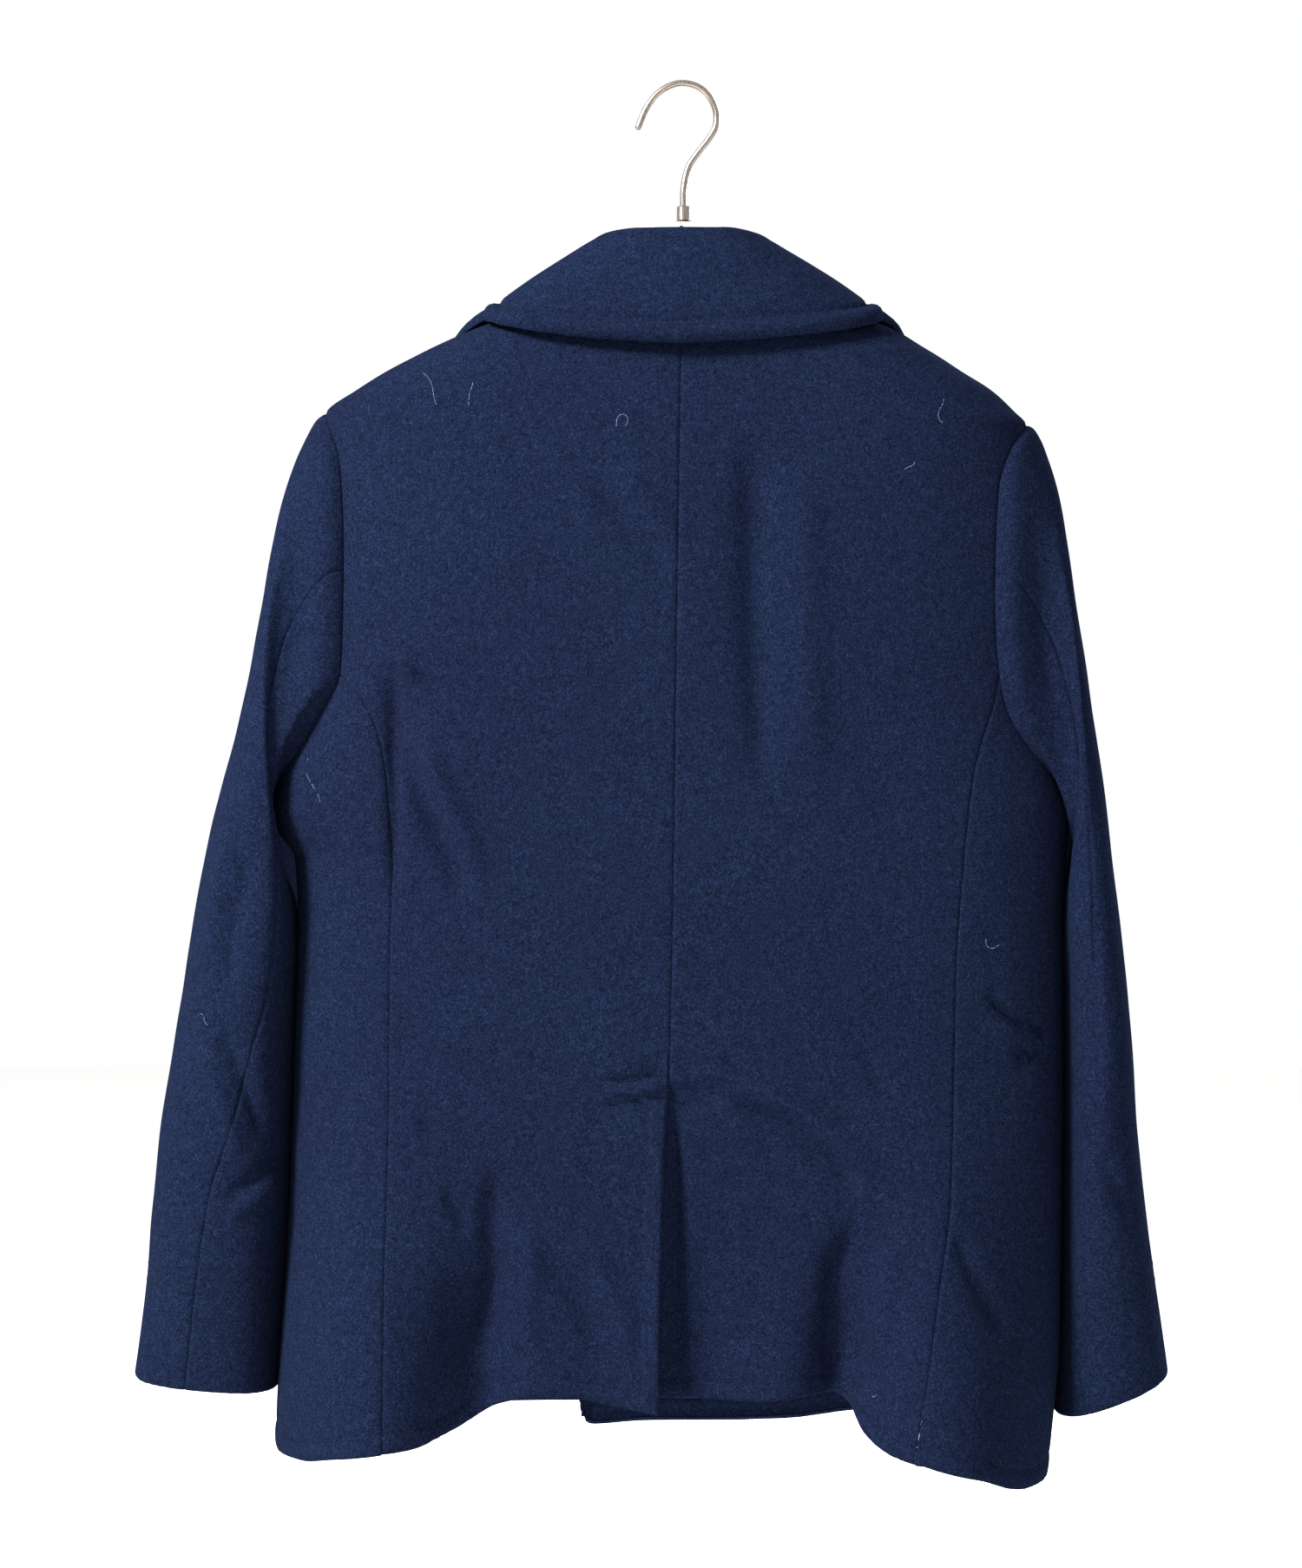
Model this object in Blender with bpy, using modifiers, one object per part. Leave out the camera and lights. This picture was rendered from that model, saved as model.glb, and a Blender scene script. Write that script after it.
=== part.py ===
"""A navy melton-wool pea coat on a hanger, hanging from the hook.

Metres, +Z up. The origin is the inside top of the hook, where the rail carries it. The coat's back
faces -Y and its front faces +Y, so the wearer's right side is at +X. A "drop" is a depth below the
origin. A "turn" goes round the body: -90 degrees at the centre back, 0 at the side, 90 at the centre
front. Each cloth piece is a wall through rows of section points, with its seams shared point by point.
"""
import math
from bisect import bisect_right
from collections import namedtuple

import bmesh
import bpy
from mathutils import Vector

# ---- driving dimensions -------------------------------------------------------------------------
CLOTH = 0.003                 # melton shell with its backing
SLEEVE_CLOTH = 0.0025         # the sleeves have no canvas behind the melton
COLLAR_CLOTH = 0.0045         # two layers of melton with interlining
LAPEL_CLOTH = 0.003           # the facing that turns back on the front
SAME_POINT = 0.00001
SEAM_GAP = 0.00025            # each piece stops this far short of the seam line
LEFT, RIGHT = -1, 1           # the wearer's left is at -X
SQUARE_X, SQUARE_Y = 0.15, 0.35   # how far the body's oval section is squared off

NECK_DROP = {LEFT: 0.1430, RIGHT: 0.1420}
TIP_DROP = {LEFT: 0.2176, RIGHT: 0.2257}
JOIN_DROP = 0.3900            # where the side-back seam meets the armhole
ARMPIT_DROP = 0.4780
VENT_TOP = 0.6500
VENT_UNDERLAP = 0.0450
VENT_DEPTH = 0.0046           # how far the underlap lies behind the left back
VENT_STITCHING = 0.0105       # from the vent's top to the end of the stitching that holds it
BACK_NECK_DROP = 0.1500       # the neck seam at the centre back
BACK_JOIN_DROP = 0.4000       # the centre-back seam's point level with the join of the side-back seam
BREAK_DROP = 0.3850           # where the lapels start to turn back
FRONT_EDGE = {LEFT: 0.078, RIGHT: -0.0685}
FRONT_LAP = 0.0024            # half the step between the two fronts where they lap

Width = namedtuple("Width", "drop left right")
WIDTHS = [                    # half width of the body at the side, or of the shoulder line above it
    Width(0.128, 0.050, 0.048),
    Width(0.143, 0.080, 0.0805),
    Width(0.166, 0.1426, 0.1440),
    Width(0.176, 0.1650, 0.1610),
    Width(0.190, 0.1920, 0.1835),
    Width(0.204, 0.2150, 0.2050),
    Width(0.2176, 0.2340, 0.2195),
    Width(0.2257, 0.2360, 0.2271),
    Width(0.260, 0.2385, 0.2300),
    Width(0.300, 0.2400, 0.2320),
    Width(0.350, 0.2420, 0.2340),
    Width(0.400, 0.2460, 0.2365),
    Width(0.430, 0.2545, 0.2420),
    Width(0.456, 0.2665, 0.2510),
    Width(0.478, 0.2715, 0.2555),
    Width(0.492, 0.2660, 0.2550),
    Width(0.510, 0.2545, 0.2535),
    Width(0.550, 0.2525, 0.2515),
    Width(0.660, 0.2550, 0.2513),
    Width(0.720, 0.2570, 0.2502),
    Width(0.776, 0.2600, 0.2496),
    Width(0.840, 0.2640, 0.2480),
    Width(0.890, 0.2665, 0.2435),
    Width(0.925, 0.2680, 0.2400),
]

Depth = namedtuple("Depth", "drop back front")
DEPTHS = [                    # how far the back and the front stand from the side line
    Depth(0.128, 0.040, 0.036),
    Depth(0.145, 0.047, 0.044),
    Depth(0.180, 0.056, 0.052),
    Depth(0.220, 0.062, 0.058),
    Depth(0.300, 0.069, 0.064),
    Depth(0.400, 0.073, 0.068),
    Depth(0.600, 0.072, 0.068),
    Depth(0.760, 0.073, 0.070),
    Depth(0.925, 0.077, 0.073),
]

SeamPoint = namedtuple("SeamPoint", "drop left right")
ARMHOLE = [                   # x of the armhole seam, the same on the back and the front
    SeamPoint(0.2300, -0.2300, 0.2235),
    SeamPoint(0.2460, -0.2243, 0.2135),
    SeamPoint(0.2680, -0.2215, 0.2065),
    SeamPoint(0.2950, -0.2203, 0.2045),
    SeamPoint(0.3220, -0.2200, 0.2035),
    SeamPoint(0.3470, -0.2203, 0.2032),
    SeamPoint(0.3700, -0.2207, 0.2040),
    SeamPoint(0.3900, -0.2222, 0.2058),
    SeamPoint(0.4140, -0.2350, 0.2110),
    SeamPoint(0.4350, -0.2465, 0.2235),
    SeamPoint(0.4550, -0.2610, 0.2405),
    SeamPoint(0.4700, -0.2690, 0.2510),
]
SIDE_BACK = [                 # x of the side-back seam, from the armhole to the hem
    SeamPoint(0.3900, -0.2222, 0.2058),
    SeamPoint(0.4114, -0.2045, 0.2010),
    SeamPoint(0.4345, -0.1952, 0.1933),
    SeamPoint(0.4637, -0.1904, 0.1868),
    SeamPoint(0.5219, -0.1874, 0.1808),
    SeamPoint(0.5795, -0.1886, 0.1768),
    SeamPoint(0.6500, -0.1891, 0.1750),
    SeamPoint(0.7287, -0.1901, 0.1722),
    SeamPoint(0.7877, -0.1913, 0.1640),
    SeamPoint(0.8414, -0.1913, 0.1566),
    SeamPoint(0.8950, -0.1913, 0.1480),
]
CENTRE_BACK = [               # x of the centre-back seam and of the vent's outer edge below it
    (0.150, 0.0000), (0.237, -0.0016), (0.349, -0.0034), (0.516, -0.0056), (0.650, -0.0084),
    (0.717, -0.0117), (0.794, -0.0140), (0.880, -0.0152),
]

Hem = namedtuple("Hem", "x drop")
BACK_HEM = {
    LEFT: [Hem(-0.1910, 0.8893), Hem(-0.1700, 0.8872), Hem(-0.1560, 0.8828), Hem(-0.1440, 0.8780),
           Hem(-0.1378, 0.8745), Hem(-0.1181, 0.8626), Hem(-0.0931, 0.8564), Hem(-0.0727, 0.8573),
           Hem(-0.0458, 0.8619), Hem(-0.0150, 0.8676)],
    RIGHT: [Hem(-0.0600, 0.8562), Hem(0.0080, 0.8598), Hem(0.0439, 0.8609), Hem(0.0825, 0.8576),
            Hem(0.0962, 0.8566), Hem(0.1070, 0.8620), Hem(0.1169, 0.8795), Hem(0.1252, 0.8868),
            Hem(0.1370, 0.8927), Hem(0.1497, 0.8962)],
}
SideHem = namedtuple("SideHem", "turn drop")
FRONT_HEM = {                 # the fronts' hem, by the turn in degrees
    LEFT: [SideHem(-50, 0.8890), SideHem(-38, 0.8942), SideHem(-26, 0.9000), SideHem(-12, 0.9005),
           SideHem(0, 0.8930), SideHem(14, 0.8890), SideHem(35, 0.8860), SideHem(60, 0.8825),
           SideHem(115, 0.8830)],
    RIGHT: [SideHem(-55, 0.8968), SideHem(-50, 0.9012), SideHem(-46, 0.9042), SideHem(-42, 0.9072),
            SideHem(-38, 0.9113), SideHem(-33, 0.9158), SideHem(-26, 0.9188), SideHem(-16, 0.9190),
            SideHem(-8, 0.9180), SideHem(0, 0.9130), SideHem(14, 0.9060), SideHem(35, 0.8960),
            SideHem(60, 0.8872), SideHem(66, 0.8890), SideHem(74, 0.8938), SideHem(85, 0.8955),
            SideHem(95, 0.8958), SideHem(102, 0.8982), SideHem(108, 0.8985)],
}

Fold = namedtuple("Fold", "side x_top x_low drop_top drop_low width push")
FOLDS = [                     # soft folds of the back; a positive push goes inwards
    Fold(LEFT, -0.118, -0.134, 0.700, 0.862, 0.026, 0.026),
    Fold(LEFT, -0.200, -0.205, 0.640, 0.895, 0.046, -0.030),
    Fold(LEFT, -0.060, -0.060, 0.700, 0.860, 0.030, 0.006),
    Fold(RIGHT, 0.122, 0.102, 0.700, 0.862, 0.024, 0.028),
    Fold(RIGHT, 0.160, 0.176, 0.620, 0.905, 0.044, -0.030),
    Fold(RIGHT, 0.030, 0.020, 0.652, 0.860, 0.050, 0.018),
    Fold(LEFT, -0.178, -0.186, 0.380, 0.480, 0.018, 0.005),
    Fold(RIGHT, 0.052, 0.056, 0.240, 0.420, 0.030, 0.004),
]

# ---- the sleeves: each ring has its outer and inner point, and its depth behind and in front ------
Ring = namedtuple("Ring", "x_out drop_out x_in drop_in y_mid half_depth seam_turn")
SLEEVE = {
    LEFT: [
        Ring(-0.2340, 0.2176, -0.2715, 0.4780, 0.000, 0.0460, 74),
        Ring(-0.2400, 0.2215, -0.2755, 0.4774, 0.000, 0.0505, 75),
        Ring(-0.2480, 0.2330, -0.2790, 0.4815, 0.001, 0.0530, 78),
        Ring(-0.2565, 0.2510, -0.2800, 0.4900, 0.003, 0.0540, 83),
        Ring(-0.2632, 0.2720, -0.2790, 0.5010, 0.005, 0.0550, 90),
        Ring(-0.2700, 0.3020, -0.2725, 0.5140, 0.007, 0.0570, 98),
        Ring(-0.2765, 0.3380, -0.2650, 0.5290, 0.009, 0.0600, 107),
        Ring(-0.2848, 0.3830, -0.2590, 0.5500, 0.011, 0.0630, 116),
        Ring(-0.2945, 0.4260, -0.2572, 0.5760, 0.012, 0.0650, 123),
        Ring(-0.3055, 0.4660, -0.2570, 0.6050, 0.013, 0.0660, 125),
        Ring(-0.3155, 0.5080, -0.2575, 0.6350, 0.014, 0.0665, 121),
        Ring(-0.3230, 0.5495, -0.2582, 0.6680, 0.014, 0.0660, 112),
        Ring(-0.3318, 0.6040, -0.2592, 0.7080, 0.014, 0.0640, 103),
        Ring(-0.3397, 0.6500, -0.2605, 0.7420, 0.013, 0.0615, 94),
        Ring(-0.3460, 0.6920, -0.2620, 0.7720, 0.012, 0.0585, 86),
        Ring(-0.3511, 0.7450, -0.2645, 0.8030, 0.011, 0.0550, 82),
        Ring(-0.3560, 0.7980, -0.2670, 0.8320, 0.010, 0.0500, 80),
        Ring(-0.3633, 0.8530, -0.2695, 0.8615, 0.009, 0.0445, 80),
    ],
    RIGHT: [
        Ring(0.2271, 0.2257, 0.2555, 0.4780, 0.000, 0.0480, 74),
        Ring(0.2313, 0.2272, 0.2590, 0.4774, 0.000, 0.0530, 75),
        Ring(0.2372, 0.2350, 0.2615, 0.4815, 0.001, 0.0555, 80),
        Ring(0.2432, 0.2480, 0.2630, 0.4890, 0.003, 0.0560, 87),
        Ring(0.2485, 0.2660, 0.2640, 0.4990, 0.006, 0.0570, 96),
        Ring(0.2535, 0.2940, 0.2630, 0.5110, 0.009, 0.0590, 107),
        Ring(0.2588, 0.3300, 0.2600, 0.5260, 0.012, 0.0620, 119),
        Ring(0.2668, 0.3800, 0.2570, 0.5480, 0.014, 0.0655, 131),
        Ring(0.2735, 0.4240, 0.2553, 0.5740, 0.016, 0.0685, 143),
        Ring(0.2800, 0.4660, 0.2548, 0.6030, 0.017, 0.0700, 153),
        Ring(0.2850, 0.5080, 0.2544, 0.6340, 0.018, 0.0705, 160),
        Ring(0.2907, 0.5495, 0.2542, 0.6670, 0.018, 0.0700, 164),
        Ring(0.2965, 0.6040, 0.2540, 0.7070, 0.018, 0.0690, 166),
        Ring(0.2996, 0.6500, 0.2535, 0.7420, 0.018, 0.0670, 166),
        Ring(0.3022, 0.6920, 0.2530, 0.7730, 0.017, 0.0645, 163),
        Ring(0.3082, 0.7450, 0.2525, 0.8080, 0.016, 0.0615, 156),
        Ring(0.3158, 0.7980, 0.2515, 0.8420, 0.015, 0.0570, 142),
        Ring(0.3237, 0.8515, 0.2495, 0.8790, 0.014, 0.0520, 124),
    ],
}
HAND_BACK = {LEFT: 0.001, RIGHT: 0.006}        # how much lower the cuff's edge hangs at the back
HAND_BACK_START = 11                          # the ring where that slant starts
SLEEVE_SQUARE = 0.30          # how far the sleeve's oval section is squared off
ARMHOLE_REACH = 6.0           # rings that still take after the armhole's shape
SPREAD_REACH = 5.5            # rings over which the columns spread evenly between the seams
VALLEY_DEPTH = 0.0085         # the long dent in the sleeve beside the armhole
VALLEY_RING, VALLEY_RINGS = 3.4, 1.3
VALLEY_TURN, VALLEY_TURNS = 78.0, 42.0

# ---- the collar: half of it, from the centre back to its front end -------------------------------
Station = namedtuple("Station", "neck_x neck_y neck_drop roll_x roll_y roll_drop edge_turn"
                     " edge_drop lift lean")
COLLAR = [                    # lean turns the roll from standing up, at the back, to lying on the front
    Station(0.0000, -0.0440, 0.1485, 0.0000, -0.0450, 0.1000, -90, 0.1805, 0.0150, 0),
    Station(0.0300, -0.0415, 0.1475, 0.0260, -0.0435, 0.1000, -79, 0.1785, 0.0140, 0),
    Station(0.0550, -0.0330, 0.1445, 0.0460, -0.0340, 0.1018, -57, 0.1726, 0.0125, 0),
    Station(0.0710, -0.0150, 0.1405, 0.0580, -0.0160, 0.1068, -35, 0.1668, 0.0100, 0),
    Station(0.0745, 0.0030, 0.1400, 0.0630, 0.0040, 0.1147, -6, 0.1608, 0.0085, 0),
    Station(0.0670, 0.0240, 0.1530, 0.0600, 0.0325, 0.1335, 32, 0.1820, 0.0105, 30),
    Station(0.0470, 0.0500, 0.1960, 0.0460, 0.0670, 0.1890, 45, 0.2200, 0.0112, 72),
]
ROLL_RADIUS = 0.0072
ROLL_STEPS = 5
FALL_SHARES = (0.25, 0.50, 0.75)
FALL_SWELL = 0.04
COLLAR_HALF_ROWS = 10         # rows from the centre back to the front end

# ---- lapels, buttons, hanger ---------------------------------------------------------------------
LapelRow = namedtuple("LapelRow", "share out_x out_drop")
LAPEL = [                     # the lapel's outer edge, from its peak down to the break
    LapelRow(0.00, 0.170, 0.2420),
    LapelRow(0.15, 0.160, 0.2680),
    LapelRow(0.35, 0.136, 0.3020),
    LapelRow(0.60, 0.095, 0.3420),
    LapelRow(0.80, 0.050, 0.3700),
    LapelRow(1.00, -0.030, 0.3820),
]
LapelColumn = namedtuple("LapelColumn", "across lift")
LAPEL_COLUMNS = [             # the roll stands off the front, and the lapel lies down towards its edge
    LapelColumn(0.00, 0.0038), LapelColumn(0.05, 0.0085), LapelColumn(0.14, 0.0105),
    LapelColumn(0.32, 0.0085), LapelColumn(0.60, 0.0055), LapelColumn(1.00, 0.0045),
]
GORGE_SHARE = 0.275           # where along the roll line the collar ends and the lapel starts
ROLL_BEND = 1.12
LAPEL_STEPS = 10
LapelEnd = namedtuple("LapelEnd", "inner outer")
LAPEL_END = {                 # how far down its two edges each lapel shows; the left front covers the right
    LEFT: LapelEnd(0.960, 0.98),
    RIGHT: LapelEnd(0.520, 0.66),
}

BUTTON_DROPS = (0.430, 0.545, 0.660)
BUTTON_X = (-0.077, 0.056)
BUTTON_RADIUS = 0.0145
BUTTON_THICK = 0.0040
BUTTON_GAP = 0.0008           # the thread's room between the button and the cloth
BUTTON_STEPS = 20

HOOK_WIRE = 0.0043
HOOK_STEPS = 3
HOOK = [                      # centre line of the hook's wire: x, drop
    (0.0015, 0.0890), (0.0013, 0.0800), (0.0015, 0.0680), (0.0045, 0.0540), (0.0110, 0.0440),
    (0.0180, 0.0350), (0.0228, 0.0260), (0.0228, 0.0160), (0.0180, 0.0060), (0.0100, -0.0002),
    (0.0000, -0.00215), (-0.0090, 0.0003), (-0.0170, 0.0060), (-0.0235, 0.0150), (-0.0285, 0.0270),
]
FERRULE_TOP, FERRULE_BASE = 0.0795, 0.0893
FERRULE_RADIUS = 0.0045
FERRULE_EDGE = 0.0006
FERRULE_FOOT = 0.0008
FERRULE_BORE_GAP = 0.0004
FERRULE_STEPS = 24
MERGE_DISTANCE = 0.00005
ArmRow = namedtuple("ArmRow", "x top height depth")
ARMS = [                      # the hanger's arm on one side: top edge, height and depth at each x
    ArmRow(0.000, 0.0895, 0.0105, 0.0130),
    ArmRow(0.016, 0.0903, 0.0108, 0.0130),
    ArmRow(0.029, 0.0940, 0.0115, 0.0135),
    ArmRow(0.042, 0.1120, 0.0140, 0.0130),
    ArmRow(0.056, 0.1350, 0.0140, 0.0140),
    ArmRow(0.070, 0.1510, 0.0130, 0.0170),
    ArmRow(0.088, 0.1590, 0.0120, 0.0200),
    ArmRow(0.120, 0.1690, 0.0115, 0.0260),
    ArmRow(0.155, 0.1835, 0.0115, 0.0320),
    ArmRow(0.180, 0.1980, 0.0110, 0.0340),
    ArmRow(0.194, 0.2080, 0.0060, 0.0260),
]
ARM_SIDES = 14
ARM_SQUARE_Y, ARM_SQUARE_Z = 0.7, 0.8   # below 1 squares the arm's section off

# ---- samples along the seams ----------------------------------------------------------------------
SHOULDER_STEPS = 6
ARMHOLE_SHARES = (0.0, 0.07, 0.17, 0.30, 0.45, 0.61, 0.75, 0.87, 1.0)
UNDERARM_SHARES = (0.0, 0.27, 0.52, 0.74, 0.90, 1.0)
BACK_COLUMNS = 9
UNDERLAP_COLUMNS = 3
HEM_SAMPLE_DROP = 0.87        # where a turn is read as an x to look the back's hem up
EVEN_SHARE = 0.35             # how far the fronts' hem columns are evened out
LOWER_FADE = 4
LOW_ROWS = (0.0, 0.05, 0.11, 0.19, 0.29, 0.40, 0.5225, 0.545, 0.62, 0.70, 0.78, 0.86, 0.94, 1.0)
VENT_ROW = 6                  # the low row at the vent's top; the underlap starts one row below it
SLEEVE_SEAM = 5               # the armhole sample where the back sleeve seam starts


def smooth(value):
    """Ease from 0 to 1 between 0 and 1."""
    value = min(1.0, max(0.0, value))
    return value * value * (3.0 - 2.0 * value)


def bump(distance, width):
    return math.exp(-(distance / width) ** 2)


def track(pairs):
    """A smooth curve through (key, value) pairs that never overshoots them."""
    keys = [pair[0] for pair in pairs]
    values = [pair[1] for pair in pairs]
    spans = [b - a for a, b in zip(keys, keys[1:])]
    rises = [(b - a) / span for a, b, span in zip(values, values[1:], spans)]
    slopes = [rises[0]]
    for before, after in zip(rises, rises[1:]):
        level = before * after <= 0.0
        slopes.append(0.0 if level else 2.0 * before * after / (before + after))
    slopes.append(rises[-1])

    def at(key):
        key = min(keys[-1], max(keys[0], key))
        i = min(len(spans) - 1, max(0, bisect_right(keys, key) - 1))
        t = (key - keys[i]) / spans[i]
        bend_a = spans[i] * slopes[i] * t * (1.0 - t) ** 2
        bend_b = spans[i] * slopes[i + 1] * t * t * (t - 1.0)
        return values[i] + (values[i + 1] - values[i]) * t * t * (3.0 - 2.0 * t) + bend_a + bend_b

    return at


WIDTH = {LEFT: track([(row.drop, row.left) for row in WIDTHS]),
         RIGHT: track([(row.drop, row.right) for row in WIDTHS])}
BACK_DEPTH = track([(row.drop, row.back) for row in DEPTHS])
FRONT_DEPTH = track([(row.drop, row.front) for row in DEPTHS])
CENTRE_X = track(CENTRE_BACK)


# ---- the body's surface ---------------------------------------------------------------------------
def fold_sum(side, x, drop):
    """How far one side's folds push a point inwards."""
    total = 0.0
    for fold in FOLDS:
        if fold.side != side:
            continue
        share = (drop - fold.drop_top) / (fold.drop_low - fold.drop_top)
        middle = fold.x_top + (fold.x_low - fold.x_top) * min(1.3, max(0.0, share))
        closed = fold.drop_low < 0.6
        strength = math.sin(math.pi * min(1.0, max(0.0, share))) if closed else smooth(share)
        total += fold.push * strength * bump(x - middle, fold.width)
    return total


def fold_push(side, x, drop):
    """The folds of a panel; the vent's underlap follows the left back, a step behind it."""
    total = fold_sum(side, x, drop)
    if side == RIGHT:
        total += fold_sum(LEFT, x, drop) * smooth((0.012 - x) / 0.030)
        total += VENT_DEPTH * smooth((drop - VENT_TOP) / 0.010) * smooth((0.045 - x) / 0.045)
    return total


def lap_step(side, x):
    """The left front lies over the right one."""
    if side == LEFT:
        return FRONT_LAP * smooth((x + 0.130) / 0.040)
    return -FRONT_LAP * smooth((0.135 - x) / 0.040)


def body_point(side, turn, drop):
    """A point on the outside of the cloth."""
    c, s = math.cos(turn), math.sin(turn)
    x = side * WIDTH[side](drop) * c * (1.0 + SQUARE_X * s * s)
    depth = BACK_DEPTH(drop) if turn < 0.0 else FRONT_DEPTH(drop)
    y = depth * s * (1.0 + SQUARE_Y * c * c)
    if turn < 0.0:
        y += fold_push(side, x, drop) * smooth(-s / 0.6)
    else:
        y += lap_step(side, x) * smooth(s / 0.6)
    return Vector((x, y, -drop))


def body_normal(side, turn, drop):
    step_turn, step_drop = 0.012, 0.0015
    across = body_point(side, turn + step_turn, drop) - body_point(side, turn - step_turn, drop)
    down = body_point(side, turn, drop + step_drop) - body_point(side, turn, drop - step_drop)
    return (down.cross(across) * side).normalized()


def turn_at(side, x, drop, front=False):
    """The turn whose point lies at x at this drop."""
    ratio = side * x / WIDTH[side](drop)
    low, high = -1.0, 1.0
    for _ in range(40):
        c = (low + high) / 2.0
        if c * (1.0 + SQUARE_X * (1.0 - c * c)) < ratio:
            low = c
        else:
            high = c
    turn = math.acos((low + high) / 2.0)
    return turn if front else -turn


# ---- seam lines in (turn, drop) -------------------------------------------------------------------
def seam_x(table, side):
    return [(row.drop, row.left if side == LEFT else row.right) for row in table]


def armhole_line(side, front):
    """The armhole from the shoulder tip to the armpit: the upper stretch, then the underarm."""
    tip, pit = TIP_DROP[side], ARMPIT_DROP
    pairs = [(tip, side * WIDTH[side](tip))] + seam_x(ARMHOLE, side)
    pairs.append((pit, side * WIDTH[side](pit)))
    x_at = track(pairs)
    upper = [tip + (JOIN_DROP - tip) * share for share in ARMHOLE_SHARES]
    under = [JOIN_DROP + (pit - JOIN_DROP) * share for share in UNDERARM_SHARES]
    lines = []
    for drops in (upper, under):
        line = []
        for drop in drops:
            at_side = drop in (tip, pit)
            line.append((0.0 if at_side else turn_at(side, x_at(drop), drop, front), drop))
        lines.append(line)
    return lines


def shoulder_line(side):
    """The shoulder seam from the neck to the shoulder tip."""
    neck, tip = NECK_DROP[side], TIP_DROP[side]
    return [(0.0, neck + (tip - neck) * i / SHOULDER_STEPS) for i in range(SHOULDER_STEPS + 1)]


def side_back_line(side):
    x_at = track(seam_x(SIDE_BACK, side))
    hem = front_hem_drop(side, None)
    drops = [JOIN_DROP + (hem - JOIN_DROP) * share for share in LOW_ROWS]
    return [(turn_at(side, x_at(drop), drop), drop) for drop in drops]


def front_hem_drop(side, turn):
    """The fronts' hem; without a turn, its drop at the side-back seam."""
    if turn is None:
        return BACK_HEM[LEFT][0].drop if side == LEFT else BACK_HEM[RIGHT][-1].drop
    return track([(math.radians(row.turn), row.drop) for row in FRONT_HEM[side]])(turn)


def coons(top, bottom, left, right, fade=1):
    """Fill a four-sided patch in (turn, drop): rows run down, columns run across.

    A fade above 1 lets the left side's bends die out sooner.
    """
    rows, columns = len(left), len(top)
    grid = []
    for i in range(rows):
        v = i / (rows - 1)
        line = []
        for j in range(columns):
            u = 1.0 - (1.0 - j / (columns - 1)) ** fade
            point = []
            for axis in (0, 1):
                ruled_across = (1 - u) * left[i][axis] + u * right[i][axis]
                ruled_down = (1 - v) * top[j][axis] + v * bottom[j][axis]
                corners = ((1 - v) * ((1 - u) * top[0][axis] + u * top[-1][axis])
                           + v * ((1 - u) * bottom[0][axis] + u * bottom[-1][axis]))
                point.append(ruled_across + ruled_down - corners)
            line.append(tuple(point))
        grid.append(line)
    return grid


def blend_line(start, end, shape, count):
    """Points between two ends whose drop follows shape(turn)."""
    line = []
    for j in range(count + 1):
        turn = start[0] + (end[0] - start[0]) * j / count
        line.append((turn, shape(turn)))
    line[0], line[-1] = start, end
    return line


# ---- cloth walls ----------------------------------------------------------------------------------
class Sheet:
    """The outside of one cloth piece: shared points with their outward normals, and quads."""

    def __init__(self):
        self.points, self.normals, self.quads = [], [], []

    def add_point(self, point, normal):
        for i, known in enumerate(self.points):
            if (known - point).length < SAME_POINT:
                return i
        self.points.append(point.copy())
        self.normals.append(normal.copy())
        return len(self.points) - 1

    def add_grid(self, points, normals, skip=()):
        ids = [[self.add_point(p, n) for p, n in zip(row, line)] for row, line in zip(points, normals)]
        for i in range(len(ids) - 1):
            for j in range(len(ids[0]) - 1):
                if (i, j) not in skip:
                    self.quads.append((ids[i][j], ids[i + 1][j], ids[i + 1][j + 1], ids[i][j + 1]))

    def set_normals(self, shared):
        """Give seam points the normals that both pieces of the seam share."""
        for place, normal in shared:
            for i, point in enumerate(self.points):
                if (point - place).length < SAME_POINT:
                    self.normals[i] = normal

    def edge_loops(self):
        count = {}
        for quad in self.quads:
            for a, b in zip(quad, quad[1:] + quad[:1]):
                count[(a, b)] = count.get((a, b), 0) + 1
        return [(a, b) for (a, b) in count if (b, a) not in count]

    def wall(self, name, thickness, material):
        """Close the sheet into a wall whose edges stop just short of the seam lines."""
        edges = self.edge_loops()
        rim = {a for a, _ in edges} | {b for _, b in edges}
        pull = {i: Vector() for i in rim}
        for quad in self.quads:
            centre = sum((self.points[i] for i in quad), Vector()) / 4.0
            for i in quad:
                if i in rim:
                    pull[i] += (centre - self.points[i]).normalized()
        shell = bmesh.new()
        outer, inner = [], []
        for i, (point, normal) in enumerate(zip(self.points, self.normals)):
            if i in rim:
                away = pull[i] - normal * pull[i].dot(normal)
                point = point + away.normalized() * SEAM_GAP
            outer.append(shell.verts.new(point))
            inner.append(shell.verts.new(point - normal * thickness))
        for a, b, c, d in self.quads:
            across = (outer[a].co - outer[c].co).length <= (outer[b].co - outer[d].co).length
            halves = ((a, b, c), (a, c, d)) if across else ((a, b, d), (b, c, d))
            for half in halves:
                shell.faces.new([outer[i] for i in half])
                shell.faces.new([inner[i] for i in reversed(half)])
        for a, b in edges:
            shell.faces.new((outer[b], outer[a], inner[a], inner[b]))
        loose = [vert for vert in shell.verts if not vert.link_faces]
        bmesh.ops.delete(shell, geom=loose, context="VERTS")
        return finish_mesh(shell, name, material)


def finish_mesh(shell, name, material):
    bmesh.ops.triangulate(shell, faces=shell.faces)
    bmesh.ops.recalc_face_normals(shell, faces=shell.faces)
    mesh = bpy.data.meshes.new(name)
    shell.to_mesh(mesh)
    shell.free()
    mesh.shade_smooth()
    mesh.set_sharp_from_angle(angle=math.radians(40))
    return add_object(name, mesh, material)


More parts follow.
